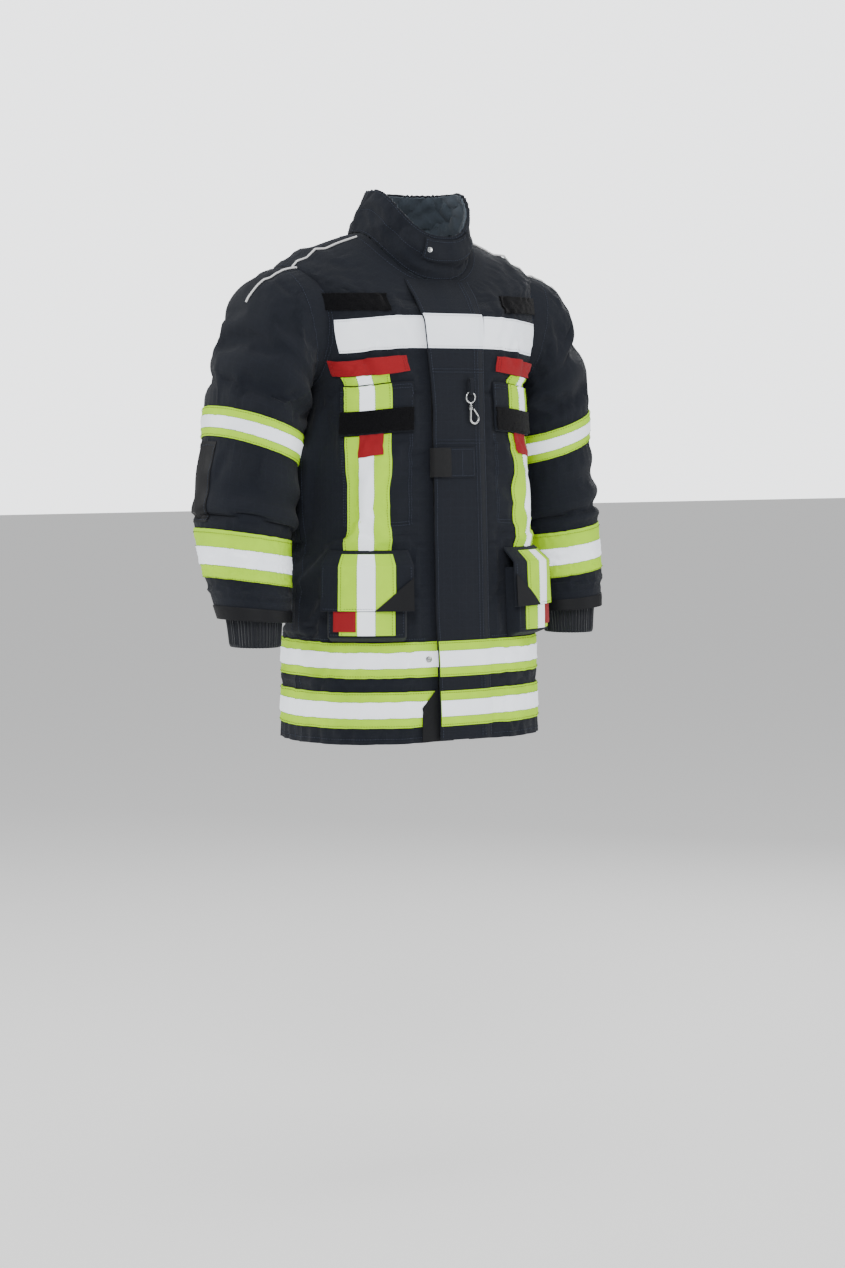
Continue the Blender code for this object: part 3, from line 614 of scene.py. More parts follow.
# Soft creases run slantwise round the throat, deepest at the front.
crease = np.sin(shares[:, None] * 13 + np.radians(round_turns)[None, :] * 2.2 + 0.6)
crease *= np.sin(np.pi * shares)[:, None] * (0.5 + 0.5 * np.cos(np.radians(round_turns))[None, :])
collar = Form(shares, round_turns, funnel, around=True)
collar.shape(funnel + 0.0028 * crease[..., None] * collar.normals)
firm = np.maximum(1 - soft_step(0, 0.25, shares), 0.7 * soft_step(0.85, 1, shares))
drape(collar, firm[:, None] + 0 * round_turns[None, :], grow=0.05, cap=0.0045)
COLLAR_CLOTH = 0.004
AROUND = (-180, 180)
outside = cloth("collar_outside", navy_twill, "torso", ["collar_shell"], collar, (0, 1), AROUND,
                -COLLAR_CLOTH, COLLAR_CLOTH, 0.0045, 0.0012)
inside = cloth("collar_inside", lining_cloth, "torso", ["collar_lining"], collar, (0.02, 0.985), AROUND,
               quilted(-COLLAR_CLOTH - 0.0027, 0.085), 0.0024, 0.005)
tab = cloth("collar_wrap", navy_twill, "collar_tab", ["collar_tab"], collar, (0.42, 0.90), (-18, 30),
            0.0008, 0.0028, 0.004, 0.0009)
on_tab = runs(collar, (0.47, 0.85), ((-16.5, 28),), 0.0040) + [run(collar, (0.47, 0.85), -16.5, 0.0040)]
stitched("collar_tab_stitches", on_tab, navy_thread, "collar_tab")
seams = runs(collar, (0.045, 0.95, 0.5), ((-179, 179),)) + [run(body, 0.7965, (5, 355))]
stitched("collar_stitches", seams, navy_thread, "torso")

# Narrow woven webbing, black.
black_webbing = woven("black_webbing", 0x141518, 0x060608, 0.0016, 0.75, 0.05)
ARCH_WIDE, ARCH_TALL, ARCH_DEEP = 0.028, 0.020, 0.004


def arch(u, v):
    t = np.pi * u
    foot = PEG[2] - ARCH_TALL
    x, y, z = -ARCH_WIDE * np.cos(t), PEG[1] + ARCH_DEEP * (1 - 2 * v), foot + ARCH_TALL * np.sin(t)
    return np.stack([x, y, z], -1), np.stack([u * 0.078, v * 2 * ARCH_DEEP], -1)


loop = cloth_grid("neck_loop", 40, 4, arch)
if loop.data.polygons[len(loop.data.polygons) // 2].normal.z < 0:
    flip(loop)
thicken(loop, 0.002, 0.0006)
dress(loop, black_webbing, "torso", ["hanger_loop"])


def lathe(name, place, facing, profile, around=24):
    """A turned part: a circle extruded and scaled along its axis through (radius, height) pairs."""
    bpy.ops.object.select_all(action="DESELECT")
    bpy.ops.mesh.primitive_circle_add(vertices=around, radius=profile[0][0], fill_type="NGON")
    piece = bpy.context.active_object
    piece.name = piece.data.name = name
    with editing(piece):
        bpy.ops.transform.translate(value=(0, 0, profile[0][1]))
        for (r0, z0), (r1, z1) in zip(profile, profile[1:]):
            bpy.ops.mesh.extrude_region_move(TRANSFORM_OT_translate={"value": (0, 0, z1 - z0)})
            bpy.ops.transform.resize(value=(r1 / r0, r1 / r0, 1), center_override=(0, 0, z1))
        bpy.ops.mesh.select_all(action="SELECT")
        bpy.ops.mesh.normals_make_consistent(inside=False)
    from_up = np.array(facing, float) / np.linalg.norm(facing)
    side = np.cross((0.0, 0.0, 1.0), from_up)
    side = side / np.linalg.norm(side) if np.linalg.norm(side) > 1e-6 else np.array((1.0, 0.0, 0.0))
    turn = np.stack([side, np.cross(from_up, side), from_up], 1)
    for v in piece.data.vertices:
        v.co = np.array(place) - PEG + turn @ np.array(v.co)
    piece.data.update()
    bpy.ops.object.shade_smooth_by_angle(angle=math.radians(35))
    return piece


def metal(name, shade, rough, scratch=0.12):
    """Bright metal with fine handling marks in its polish."""
    made, tree = new_material(name, Metallic=1.0, Base_Color=linear(shade))
    marks = noise(tree, node(tree, "ShaderNodeTexCoord"), 260.0, 5.0)
    return surface(made, None, maths(tree, "MULTIPLY_ADD", marks, scratch, rough), marks, 0.15, 0.0002)


# Nickel-plated steel, polished.
plated_steel = metal("nickel_plated_steel", 0xC9CBCC, 0.18)
STUD = [
    (0.0056, 0.0), (0.0058, 0.0006), (0.0052, 0.0014), (0.0040, 0.0016), (0.0034, 0.0013), (0.0030, 0.0019),
    (0.0012, 0.0022),
]
TAB_STUD_SIZE = 0.8
at, up = run(collar, 0.62, (-13, -12), 0.0036)
stud = lathe("collar_stud", at[0], up[0], [(TAB_STUD_SIZE * r, TAB_STUD_SIZE * z) for r, z in STUD])
dress(stud, plated_steel, "collar_tab")

# ------------------------------------------------------------
# Tapes on the body. Fluorescent yellow cloth tape with a silver stripe of glass beads along its middle goes
# round the hem twice, and an all-silver tape crosses the chest. They are sewn flat on, along both edges.
TRIM_LIFT, TAPE, STRIPE, NAP = 0.0008, 0.0012, 0.0005, 0.0006
HEM_TAPES = {"lower": (0.013, 0.069), "upper": (0.092, 0.148)}
CHEST_TAPE, RIGHT_EDGE, LEFT_EDGE, CLOSURE_EDGE = (0.614, 0.666), 2.7, 10.6, 7.0


def reflective(name, light, dark, rough, metallic, glow, relief):
    """Tape cloth: a close diagonal emboss, slight soiling, and a glow: fluorescence on the yellow cloth, and
    on the bead tape a painted highlight for the light that its glass beads throw back.
    """
    made, tree = new_material(name, Metallic=metallic, Emission_Strength=glow, Specular_IOR_Level=0.5,
                              Emission_Color=linear(light))
    spot = node(tree, "ShaderNodeTexCoord")
    emboss = [ribs(tree, spot, 0.0016, way, Distortion=0.2) for way in ("DIAGONAL", "X")]
    cells = maths(tree, "MULTIPLY", *emboss)
    soil = noise(tree, spot, 26.0, 7.0, Roughness=0.6)
    tone = maths(tree, "MULTIPLY_ADD", cells, 0.25, soil)
    colour = mixed(tree, tone, linear(dark), linear(light))
    roughness = maths(tree, "MULTIPLY_ADD", soil, 0.25, rough - 0.1)
    return surface(made, colour, roughness, cells, relief, 0.0003)


# Fluorescent polyester-cotton, dull, glowing slightly in daylight; and glass beads in a grey binder, satin,
# whose strong white glow is a painted highlight for the light the beads throw back.
yellow_cloth = reflective("fluorescent_yellow_cloth", 0xC4FA00, 0x9ED600, 0.72, 0.0, 0.08, 0.35)
# The bead tape's glow is a painted highlight, not light of its own.
silver_beads = reflective("silver_bead_tape", 0xF2F6FC, 0xD2DAE6, 0.42, 0.1, 0.75, 0.25)
tape_thread = plain("tape_thread", 0x5A6A08, 0.75)
grey_thread = plain("grey_thread", 0x8B9298, 0.75)


def share_of(span, share):
    return span[0] + (span[1] - span[0]) * share


def sewn_tape(name, form, rows, columns, lift, nodes, rider, upright=False, share=(0.27, 0.73), step=0.006):
    """Yellow tape with its silver stripe, and stitches on all four edges."""
    cloth(name, yellow_cloth, rider, nodes, form, rows, columns, lift, TAPE, step)
    over = (lambda r, c: lift(r, c) + TAPE + NAP) if callable(lift) else lift + TAPE + NAP
    wide = columns if upright else rows
    inner = tuple(share_of(wide, s) for s in share)
    stripe_span = (rows, inner) if upright else (inner, columns)
    cloth(name + "_stripe", silver_beads, rider, [], form, *stripe_span, over, STRIPE, step)
    lines = []
    for edge in (share_of(wide, 0.05), share_of(wide, 0.95), *inner):
        span = (rows, edge) if upright else (edge, columns)
        points, normals = run(form, *span, 0.0)
        height = (over(*line_grid(*span)) if callable(over) else over) + THREAD_LIFT
        lines.append((points + np.broadcast_to(height, (RUN,))[:, None] * normals, normals))
    stitched(name + "_stitches", lines, tape_thread, rider)


for word, rows in HEM_TAPES.items():
    span = (LEFT_EDGE, 360 - CLOSURE_EDGE)
    sewn_tape(f"hem_band_{word}", body, rows, span, TRIM_LIFT, [f"hem_tape_{word}"], "torso")
CHEST_STITCHES = (CHEST_TAPE[0] + 0.003, CHEST_TAPE[1] - 0.003)
CHEST_STITCH_LIFT, CHEST_END = 0.0003, 53.5
for word, span in (("right", (360 - CHEST_END, 360 - RIGHT_EDGE)), ("left", (LEFT_EDGE, CHEST_END))):
    cloth(f"chest_band_{word}", silver_beads, "torso", [f"chest_tape_{word}"], body, CHEST_TAPE, span,
          TRIM_LIFT, TAPE)
    lines = runs(body, CHEST_STITCHES, (span,), TRIM_LIFT + TAPE + CHEST_STITCH_LIFT)
    stitched(f"chest_band_stitches_{word}", lines, grey_thread, "torso")

# A scuff patch of coated cloth guards the tape's lower corner at the front edge.
coated = plain("coated_scuff_cloth", 0x141519, 0.62, Specular_IOR_Level=0.25)
PATCH_LOW, PATCH_HIGH, PATCH_ARC = 0.042, 0.029, (345.6, 353.6)


def patch_top(column):
    """The patch's slanted top edge."""
    return PATCH_LOW + PATCH_HIGH * np.clip((column - PATCH_ARC[0]) / 6.0, 0, 1)


cloth("hem_corner_patch", coated, "torso", [], body, (HEM + 0.001, patch_top), PATCH_ARC,
      TRIM_LIFT + TAPE + NAP + STRIPE + 0.0004, 0.0012, 0.003, 0.0004)

# ------------------------------------------------------------
# Name panels, microphone straps and front trims. Black loop tape carries a name strip on each side of the
# chest, red webbing below it is tacked down in loops, and an upright run of yellow and silver tape passes
# the pockets.
def pile(name, shade, deep, pitch):
    """Hook-and-loop pile: a close nap of loops that swallows light, drawn as painted shade that darkens the
    colour between the loops.
    """
    made, tree = new_material(name, Sheen_Weight=0.06, Sheen_Roughness=0.5, Specular_IOR_Level=0.15,
                              Roughness=0.95)
    spot = node(tree, "ShaderNodeTexCoord").outputs["Object"]
    loops = node(tree, "ShaderNodeTexVoronoi", {"Vector": spot, "Scale": 1 / pitch}).outputs["Distance"]
    # Painted shade: the colour darkens from the tops of the loops to the gaps between them.
    colour = mixed(tree, loops, linear(shade), linear(deep))
    return surface(made, colour, None, loops, 0.9, 0.0008, invert=True)


# Black nylon loop tape, with painted shade darkening it between its loops: the loops are 0.6 mm apart and are
# drawn 1.6 mm apart so that they show.
loop_tape = pile("black_loop_tape", 0x0E0E12, 0x020203, 0.0016)
# Red polyester webbing, dull, with a clear rib.
red_webbing = woven("red_webbing", 0xB00A1A, 0x74040E, 0.0022, 0.75, 0.05)
red_thread = plain("red_thread", 0x8E1420, 0.75)
NAME_HEIGHT, NAME_ARC = (0.672, 0.699), (22.5, 61)
STRAP_ROWS, STRAP_ARC, STRAP = (0.578, 0.602), (18, 63), 0.002
TRIM_ARC, FRONT_TRIM, TOP_TRIM = (28.5, 57.0), (0.293, 0.482), (0.562, 0.577)
UPRIGHT = {"upright": True, "share": (0.34, 0.66)}


def level(form, height):
    """The row of each column that lies at a height, so that a strip runs level however the form slopes."""

    def row(column):
        turns = np.linspace(column.min(), column.max(), 24)
        heights = form.at(form.rows[:, None], turns[None, :])[..., 2]
        return np.interp(column, turns, [np.interp(height, heights[:, k], form.rows) for k in range(24)])

    return row


for side, word in SIDES:
    strip = (level(body, NAME_HEIGHT[0]), level(body, NAME_HEIGHT[1]))
    cloth(f"name_strip_{word}", loop_tape, "torso", [f"name_panel_{word}"], body, strip,
          turned(side, *NAME_ARC), 0.0012, 0.0026, 0.004, 0.0006)
    ends = turned(side, *STRAP_ARC)

    def strap_lift(row, column, ends=ends):
        """The strap stands off in two loops between its tacks."""
        share = (column - ends[0]) / (ends[1] - ends[0])
        return TRIM_LIFT + 0.0042 * np.abs(np.sin(2 * np.pi * np.clip((share - 0.06) / 0.88, 0, 1))) ** 0.8

    cloth(f"mic_strap_{word}", red_webbing, "torso", [f"chest_strap_{word}"], body, STRAP_ROWS, ends,
          strap_lift, STRAP, 0.004, 0.0005)
    tacks = [share_of(ends, s) for s in (0.025, 0.05, 0.49, 0.51, 0.95, 0.975)]
    tall = (STRAP_ROWS[0] + 0.002, STRAP_ROWS[1] - 0.002)
    lines = runs(body, (tall,), tacks, TRIM_LIFT + STRAP + THREAD_LIFT)
    stitched(f"mic_strap_stitches_{word}", lines, red_thread, "torso")
    arc = turned(side, *TRIM_ARC)
    front = [f"front_trim_{word}"]
    sewn_tape(f"upright_trim_{word}", body, FRONT_TRIM, arc, TRIM_LIFT, front, "torso", **UPRIGHT)
    sewn_tape(f"upright_trim_top_{word}", body, TOP_TRIM, arc, TRIM_LIFT, [], "torso", **UPRIGHT)

# ------------------------------------------------------------
# Chest pockets. The bag is inside the shell, so only its stitching shows; the flap is two cloths, with a
# band of loop tape along its foot, the trim across it and a red pull tab behind.
CHEST_FLAP, CHEST_ARC, CHEST_BAND = (0.483, 0.561), (17, 60), (0.485, 0.521)
CHEST_BAG, CHEST_BAG_ARC, CHEST_STITCH_ARC = (0.335, 0.480), (17.5, 59.7), (17.6, 59.4)
FLAP_CLOTH, ON_CLOTH = 0.0035, 0.0004


def chest_lift(row, column, more=0.0):
    return np.interp(row, [0.545, CHEST_FLAP[1]], [0.003, TRIM_LIFT]) + more


for side, word in SIDES:
    rider = f"chest_flap_{word}"
    flap = cloth(f"pocket_flap_{word}", navy_twill, rider, [f"chest_flap_{word}"], body, CHEST_FLAP,
                 turned(side, *CHEST_ARC), chest_lift, FLAP_CLOTH, 0.005, 0.0010)
    sewn_tape(f"pocket_flap_trim_{word}", body, (CHEST_BAND[1] - 0.004, CHEST_FLAP[1] - 0.001),
              turned(side, *TRIM_ARC), lambda r, c: chest_lift(r, c, FLAP_CLOTH + ON_CLOTH),
              [f"chest_flap_trim_{word}"], rider, **UPRIGHT)
    cloth(f"pocket_flap_band_{word}", loop_tape, rider, [f"chest_flap_band_{word}"], body, CHEST_BAND,
          turned(side, 17.3, 59.7), lambda r, c: chest_lift(r, c, FLAP_CLOTH + 0.0019), 0.0020, 0.005, 0.0006)
    cloth(f"pocket_pull_{word}", red_webbing, rider, [f"chest_flap_tab_{word}"], body, (0.447, 0.492),
          turned(side, 33, 47.5), 0.0035, 0.0014, 0.004, 0.0005)
    arc = turned(side, *CHEST_STITCH_ARC)
    lines = [run(body, CHEST_FLAP[1] - 0.004, arc, 0.0052), run(body, CHEST_FLAP[1] - 0.009, arc, 0.0062)]
    lines += runs(body, ((CHEST_FLAP[0] + 0.002, CHEST_FLAP[1] - 0.004),), turns_at(side, 17.8, 59.2), 0.0069)
    stitched(f"pocket_flap_stitches_{word}", lines, navy_thread, rider)
    bag = runs(body, (CHEST_BAG,), turns_at(side, 17.5, 18.6, 58.6, 59.7))
    bag += runs(body, (CHEST_BAG[0], 0.340), (turned(side, *CHEST_BAG_ARC),))
    stitched(f"chest_pocket_stitches_{word}", bag, navy_thread, "torso")

# ------------------------------------------------------------
# Lower pockets. A bellows bag stands off the front, sewn down at its sides and foot and open at the top,
# under a deep flap with the trim across it, a scuff patch on its inner corner and a red pull tab.
POCKET_DEEP, POCKET_ROWS, POCKET_ARC = 0.021, (0.152, 0.262), (22, 65)
LOWER_FLAP, LOWER_ARC = (0.198, 0.292), (20, 67)


def pocket_stand(row, column):
    """The bag's lift: its front bellies out a little, and its walls drop at the sides and foot."""
    away = np.minimum(column, 360 - column)
    walls = soft_step(POCKET_ARC[0], POCKET_ARC[0] + 1.6, away)
    walls = walls * (1 - soft_step(POCKET_ARC[1] - 1.6, POCKET_ARC[1], away))
    foot = soft_step(POCKET_ROWS[0], POCKET_ROWS[0] + 0.006, row)
    middle = (away - POCKET_ARC[0]) / (POCKET_ARC[1] - POCKET_ARC[0])
    belly = 0.0015 * np.sin(np.pi * np.clip(middle, 0, 1))
    belly = belly * np.sin(math.pi * np.clip((row - POCKET_ROWS[0]) / 0.11, 0, 1))
    return TRIM_LIFT + (POCKET_DEEP - 0.0038 + belly) * walls * foot


def flap_stand(row, column, more=0.0):
    share = np.clip((LOWER_FLAP[1] - row) / 0.022, 0, 1)
    away = np.minimum(column, 360 - column)
    lip = 0.0016 * np.sin((away - 20) / 47 * 2.6 * np.pi + 0.5)
    lip = lip * soft_step(LOWER_FLAP[0] + 0.05, LOWER_FLAP[0], row)
    return TRIM_LIFT + np.sqrt(share) * share**0.5 * (POCKET_DEEP + 0.003 - TRIM_LIFT) + lip + more


POCKET_STITCHES, LOWER_STITCHES = (24.6, 62.4), (21.4, 65.6)
GUARD_ARC, GUARD_FOOT = (20.4, 38.5), LOWER_FLAP[0] + 0.0006


def guard_top(column):
    """The slanted top edge of the scuff patch, highest at the pocket's inner side."""
    away = np.minimum(column, 360 - column)
    return GUARD_FOOT + 0.052 * np.clip((GUARD_ARC[1] - away) / (GUARD_ARC[1] - GUARD_ARC[0]), 0.02, 1)


for side, word in SIDES:
    rider = f"lower_flap_{word}"
    bag = cloth(f"bellows_bag_{word}", navy_twill, "torso", [f"lower_pocket_{word}"], steady, POCKET_ROWS,
                turned(side, *POCKET_ARC), pocket_stand, 0.003, 0.003)
    walls = (POCKET_ROWS[0] + 0.012, POCKET_ROWS[1])
    lines = runs(steady, (walls,), turns_at(side, *POCKET_STITCHES), POCKET_DEEP + 0.0006)
    lines += runs(steady, (POCKET_ROWS[0] + 0.009,), (turned(side, *POCKET_STITCHES),), POCKET_DEEP + 0.0006)
    stitched(f"bellows_stitches_{word}", lines, navy_thread, "torso")
    trim = turned(side, *TRIM_ARC)
    sewn_tape(f"bag_trim_{word}", steady, (0.160, 0.215), trim, lambda r, c: pocket_stand(r, c) + 0.0034,
              [], "torso", **UPRIGHT)
    flap = cloth(f"bellows_flap_{word}", navy_twill, rider, [f"lower_flap_{word}"], steady, LOWER_FLAP,
                 turned(side, *LOWER_ARC), flap_stand, FLAP_CLOTH, 0.0045, 0.0010)
    sewn_tape(f"bellows_flap_trim_{word}", steady, (LOWER_FLAP[0] + 0.001, LOWER_FLAP[1] - 0.0045), trim,
              lambda r, c: flap_stand(r, c, FLAP_CLOTH + ON_CLOTH),
              [f"lower_flap_trim_{word}"], rider, **UPRIGHT)
    cloth(f"bellows_corner_{word}", coated, rider, [], steady, (GUARD_FOOT, guard_top),
          turned(side, *GUARD_ARC), lambda r, c: flap_stand(r, c, FLAP_CLOTH + ON_CLOTH + TAPE + STRIPE),
          0.0010, 0.003)
    cloth(f"bellows_pull_{word}", red_webbing, rider, [f"lower_flap_tab_{word}"], steady, (0.166, 0.208),
          turned(side, 48, 60), POCKET_DEEP + 0.0030, 0.0014, 0.004, 0.0005)
    edges = (LOWER_FLAP[0] + 0.004, LOWER_FLAP[1] - 0.022)
    lines = runs(steady, (edges,), turns_at(side, *LOWER_STITCHES), POCKET_DEEP + 0.0070)
    lines += [run(steady, edges[0], turned(side, *LOWER_STITCHES), POCKET_DEEP + 0.0080)]
    lines += [run(steady, LOWER_FLAP[1] - 0.003, turned(side, 20.6, 66.4), 0.0082)]
    stitched(f"bellows_flap_stitches_{word}", lines, navy_thread, rider)

# ------------------------------------------------------------
# Zip. A coarse brass zip closes the fronts under the storm flap: moulded teeth on woven tapes, and a slider
# with a cord pull.
ZIP_LOW, ZIP_TOP, ZIP_LIFT, TOOTH, TOOTH_PITCH = 0.006, 0.654, -0.0042, 0.0026, 0.0034


def front_y(height):
    """The y of the middle of the front, straight from the hem to the chest and then leaning back."""
    return -np.interp(height, [HEM, 0.658, 0.722], [0.1525, 0.124, 0.086])


def front_point(x, height, lift):
    x, height, lift = np.broadcast_arrays(*(np.asarray(a, float) for a in (x, height, lift)))
    slope = np.interp(height, [0.658, 0.722], [0.055, 0.100])
    return np.stack([x, front_y(height) - lift + slope * (np.sqrt(x * x + 1e-5) - 0.003), height], -1)


brass = metal("zip_brass", 0xB8924A, 0.32, 0.2)
for name in ("zip_tape_right", "zip_tape_left", "flap_closure_strip"):
    cad_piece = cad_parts[name]
    cad_piece.data.materials.clear()
    cad_piece.data.materials.append(loop_tape)


def bevelled_block(name, size, round_edge, segments):
    bpy.ops.object.select_all(action="DESELECT")
    bpy.ops.mesh.primitive_cube_add(size=1)
    piece = bpy.context.active_object
    piece.name = name
    with editing(piece):
        bpy.ops.transform.resize(value=size)
        bpy.ops.mesh.bevel(offset=round_edge, segments=segments, affect="EDGES")
    return piece


teeth = bevelled_block("zip_teeth", (0.0052, 0.0030, TOOTH), 0.0006, 1)
corners = np.array([v.co for v in teeth.data.vertices])
faces = [list(p.vertices) for p in teeth.data.polygons]
points, polygons = [], []
for k, height in enumerate(np.arange(ZIP_LOW, ZIP_TOP, TOOTH_PITCH / 2)):
    x = 0.0017 if k % 2 else -0.0017
    polygons += [[i + len(points) * len(corners) for i in f] for f in faces]
    points.append(corners * (1, 1, 0.55) + front_point(x, height, ZIP_LIFT) - PEG)
row_mesh = bpy.data.meshes.new("zip_teeth")
row_mesh.from_pydata(np.concatenate(points).tolist(), [], polygons)
teeth.data = row_mesh
dress(teeth, brass, "torso")

SLIDER_HEIGHT = 0.645
slider = bevelled_block("slider_body", (0.0108, 0.0092, 0.0178), 0.0018, 3)
slider.data.name = "slider_body"
for v in slider.data.vertices:
    # The foot of the slider is narrower than its crown, and it leans with the front.
    v.co.x *= 0.82 + 0.18 * (v.co.z / 0.0089 + 1) / 2
    v.co.y += 0.0425 * v.co.z
    v.co = np.array(v.co) + front_point(0, SLIDER_HEIGHT, -0.0022) - PEG
bpy.ops.object.shade_smooth_by_angle(angle=math.radians(40))
dress(slider, brass, "zip_slider", ["zip_slider"])
PULL_HIGH = 0.034


def pull_shape(u, v):
    """A flat cord pull, narrow at its eye and wide at its foot."""
    height = SLIDER_HEIGHT - 0.015 - PULL_HIGH / 2 + PULL_HIGH * v
    half = 0.0048 - 0.0024 * soft_step(0.55, 1.0, v)
    half = half * np.sqrt(np.clip(1 - np.clip((0.06 - v) / 0.06, 0, 1) ** 2 * 0.5, 0, 1))
    return front_point((u * 2 - 1) * half, height, 0.0029), np.stack([u * 0.010, v * PULL_HIGH], -1)


pull = cloth_grid("slider_pull", 8, 22, pull_shape)
thicken(pull, 0.0014, 0.0005)
dress(pull, black_webbing, "zip_pull", ["zip_pull"])

# ------------------------------------------------------------
# Storm flap. A double strip of shell cloth is sewn down left of the zip and laps over it to the right. It
# runs up under the collar, with its own lengths of tape, a grab tab round its free edge and a loop for the
# snap hook.
FLAP, FLAP_RIGHT, FLAP_LEFT, FLAP_TOP = 0.004, -0.047, 0.0565, 0.7235
flap_rows, flap_xs = np.linspace(HEM + 0.002, FLAP_TOP, 240), np.linspace(-0.058, 0.0585, 48)
# It tucks under the collar at its top and is pressed flat to the front along its sewn left edge.
stand = 0.007 * (1 - 1.1 * soft_step(0.690, FLAP_TOP, flap_rows))[:, None]
pressed = 0.0046 * soft_step(0.040, 0.056, flap_xs)[None, :] * (1 - soft_step(0.66, 0.70, flap_rows))[:, None]
stand = stand - pressed
plane = front_point(flap_xs[None, :], flap_rows[:, None], stand)
edge = soft_step(0.010, -0.047, flap_xs)[None, :]
at_grab = np.exp(-(((flap_rows - 0.432) / 0.030) ** 2))
at_hook = np.exp(-(((flap_rows - 0.545) / 0.035) ** 2))
calm = 1 - (at_grab + at_hook)[:, None]
wave = np.sin(flap_rows * 21 + 0.8) + 0.6 * np.sin(flap_rows * 47 + 2.1)
wave = wave[:, None] * (0.35 + 0.65 * edge) * np.clip(calm, 0, 1) * soft_step(0.0, 0.03, flap_rows)[:, None]
plane[..., 1] -= 0.0013 * wave + 0.0012 * edge
aside = 0.0016 * np.sin(flap_rows * 13 + 1) - 0.017 * soft_step(0.50, 0.74, flap_rows)
plane[..., 0] += aside[:, None] * edge
storm = Form(flap_rows, flap_xs, plane)


def on_flap(piece):
    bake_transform(piece)


ON_FLAP, FLAP_STITCHES = FLAP + 0.0003, FLAP + THREAD_LIFT
FLAP_EDGES, FLAP_TAPE_SPAN = (FLAP_RIGHT, FLAP_LEFT), (FLAP_RIGHT + 0.0005, FLAP_LEFT - 0.0005)
cover = cloth("storm_flap_cloth", navy_twill, on_flap, ["storm_flap", "flap_top"], storm,
              (HEM + 0.002, FLAP_TOP), FLAP_EDGES, 0.0, FLAP, 0.004, 0.0012)
for word, rows in HEM_TAPES.items():
    sewn_tape(f"flap_band_{word}", storm, rows, FLAP_TAPE_SPAN, ON_FLAP, [f"flap_hem_tape_{word}"], on_flap)
cloth("flap_chest_band", silver_beads, on_flap, ["flap_chest_tape"], storm, CHEST_TAPE, FLAP_TAPE_SPAN,
      ON_FLAP, TAPE, 0.004)
upright_seams = (FLAP_RIGHT + 0.004, 0.0345, 0.0405, 0.054)
lines = runs(storm, ((HEM + 0.006, FLAP_TOP - 0.003),), upright_seams, FLAP_STITCHES)
lines += runs(storm, (0.463, 0.468, 0.576, 0.581), ((FLAP_RIGHT + 0.003, FLAP_LEFT - 0.003),), FLAP_STITCHES)
stitched("storm_flap_stitches", lines, navy_thread, on_flap)
span = (FLAP_RIGHT + 0.001, FLAP_LEFT - 0.001)
lines = runs(storm, CHEST_STITCHES, (span,), ON_FLAP + TAPE + CHEST_STITCH_LIFT)
stitched("flap_chest_stitches", lines, grey_thread, on_flap)

GRAB_ROWS, GRAB_STITCH_LIFT = (0.408, 0.456), FLAP + 0.0028
grab_seams = (GRAB_ROWS[0] + 0.003, GRAB_ROWS[1] - 0.003)
cloth("grab_tab_cloth", navy_twill, on_flap, ["grab_tab"], storm, GRAB_ROWS, (-0.036, 0.030),
      ON_FLAP, 0.0022, 0.003, 0.0007)
lines = runs(storm, grab_seams, ((-0.034, 0.028),), GRAB_STITCH_LIFT)
lines += runs(storm, (grab_seams,), (0.027, 0.004), GRAB_STITCH_LIFT)
stitched("grab_tab_stitches", lines, navy_thread, on_flap)


def grip(u, v):
    """Webbing that comes out of the tab, laps over the flap's free edge and turns behind it."""
    along = u * 0.052
    x = np.where(along < 0.034, -0.018 - along, -0.052 + (along - 0.034) * 0.75)
    lift = np.where(along < 0.030, FLAP + 0.0028 + 0.0015 * np.sin(np.pi * along / 0.030), 0)
    round_edge = np.clip((along - 0.030) / 0.008, 0, 1)
    lift = np.where(along >= 0.030, (FLAP + 0.0028) * (1 - round_edge) - 0.0026 * round_edge, lift)
    row = 0.409 + 0.046 * v
    return storm.at(row, np.clip(x, -0.0575, 0.05), lift), np.stack([along, 0.046 * v], -1)


webbing = cloth_grid("grab_webbing", 40, 16, grip)
flip(webbing)
thicken(webbing, 0.0018, 0.0004)
dress(webbing, black_webbing, on_flap)

# ------------------------------------------------------------
# Snap hook. A small plated hook with a sprung gate turns on a swivel ring, which hangs from a cloth loop in
# the middle of the chest.
HOOK_X, HOOK_TOP, LOOP_DEEP, LOOP_TALL = 0.022, 0.540, 0.010, 0.026
loop_low, loop_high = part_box("hook_loop")
loop_middle = (np.array(loop_low) + np.array(loop_high)) / 2 + PEG


def loop_shape(u, v):
    t = 2 * np.pi * u
    deep, tall = LOOP_DEEP / 2 - 0.0015, LOOP_TALL / 2 - 0.0015
    y = np.sign(np.cos(t)) * np.abs(np.cos(t)) ** 0.7 * deep
    points = loop_middle + np.stack([0.0035 - 0.007 * v, y, tall * np.sin(t)], -1)
    return points, np.stack([u * 0.06, v * 0.007], -1)


cloth_loop = cloth_grid("hook_cloth_loop", 48, 4, loop_shape)
first = cloth_loop.data.polygons[0]
if (first.center.y - (loop_middle - PEG)[1]) * first.normal.y < 0:
    flip(cloth_loop)
thicken(cloth_loop, 0.0015, 0.0004)
dress(cloth_loop, navy_twill, "storm_flap", ["hook_loop"])


def wire(name, points, radius, closed=False):
    """Round wire along points, as a mesh."""
    curve = bpy.data.curves.new(name, "CURVE")
    curve.dimensions = "3D"
    spline = curve.splines.new("POLY")
    spline.points.add(len(points) - 1)
    for made, p in zip(spline.points, points):
        made.co = (*(np.asarray(p) - PEG), 1)
    spline.use_cyclic_u = closed
    curve.bevel_depth, curve.bevel_resolution, curve.use_fill_caps = radius, 4, True
    piece = bpy.data.objects.new(name, curve)
    bpy.context.scene.collection.objects.link(piece)
    only(piece)
    bpy.ops.object.convert(target="MESH")
    piece = bpy.context.active_object
    piece.name = name
    bpy.ops.object.shade_smooth_by_angle(angle=math.radians(50))
    return piece


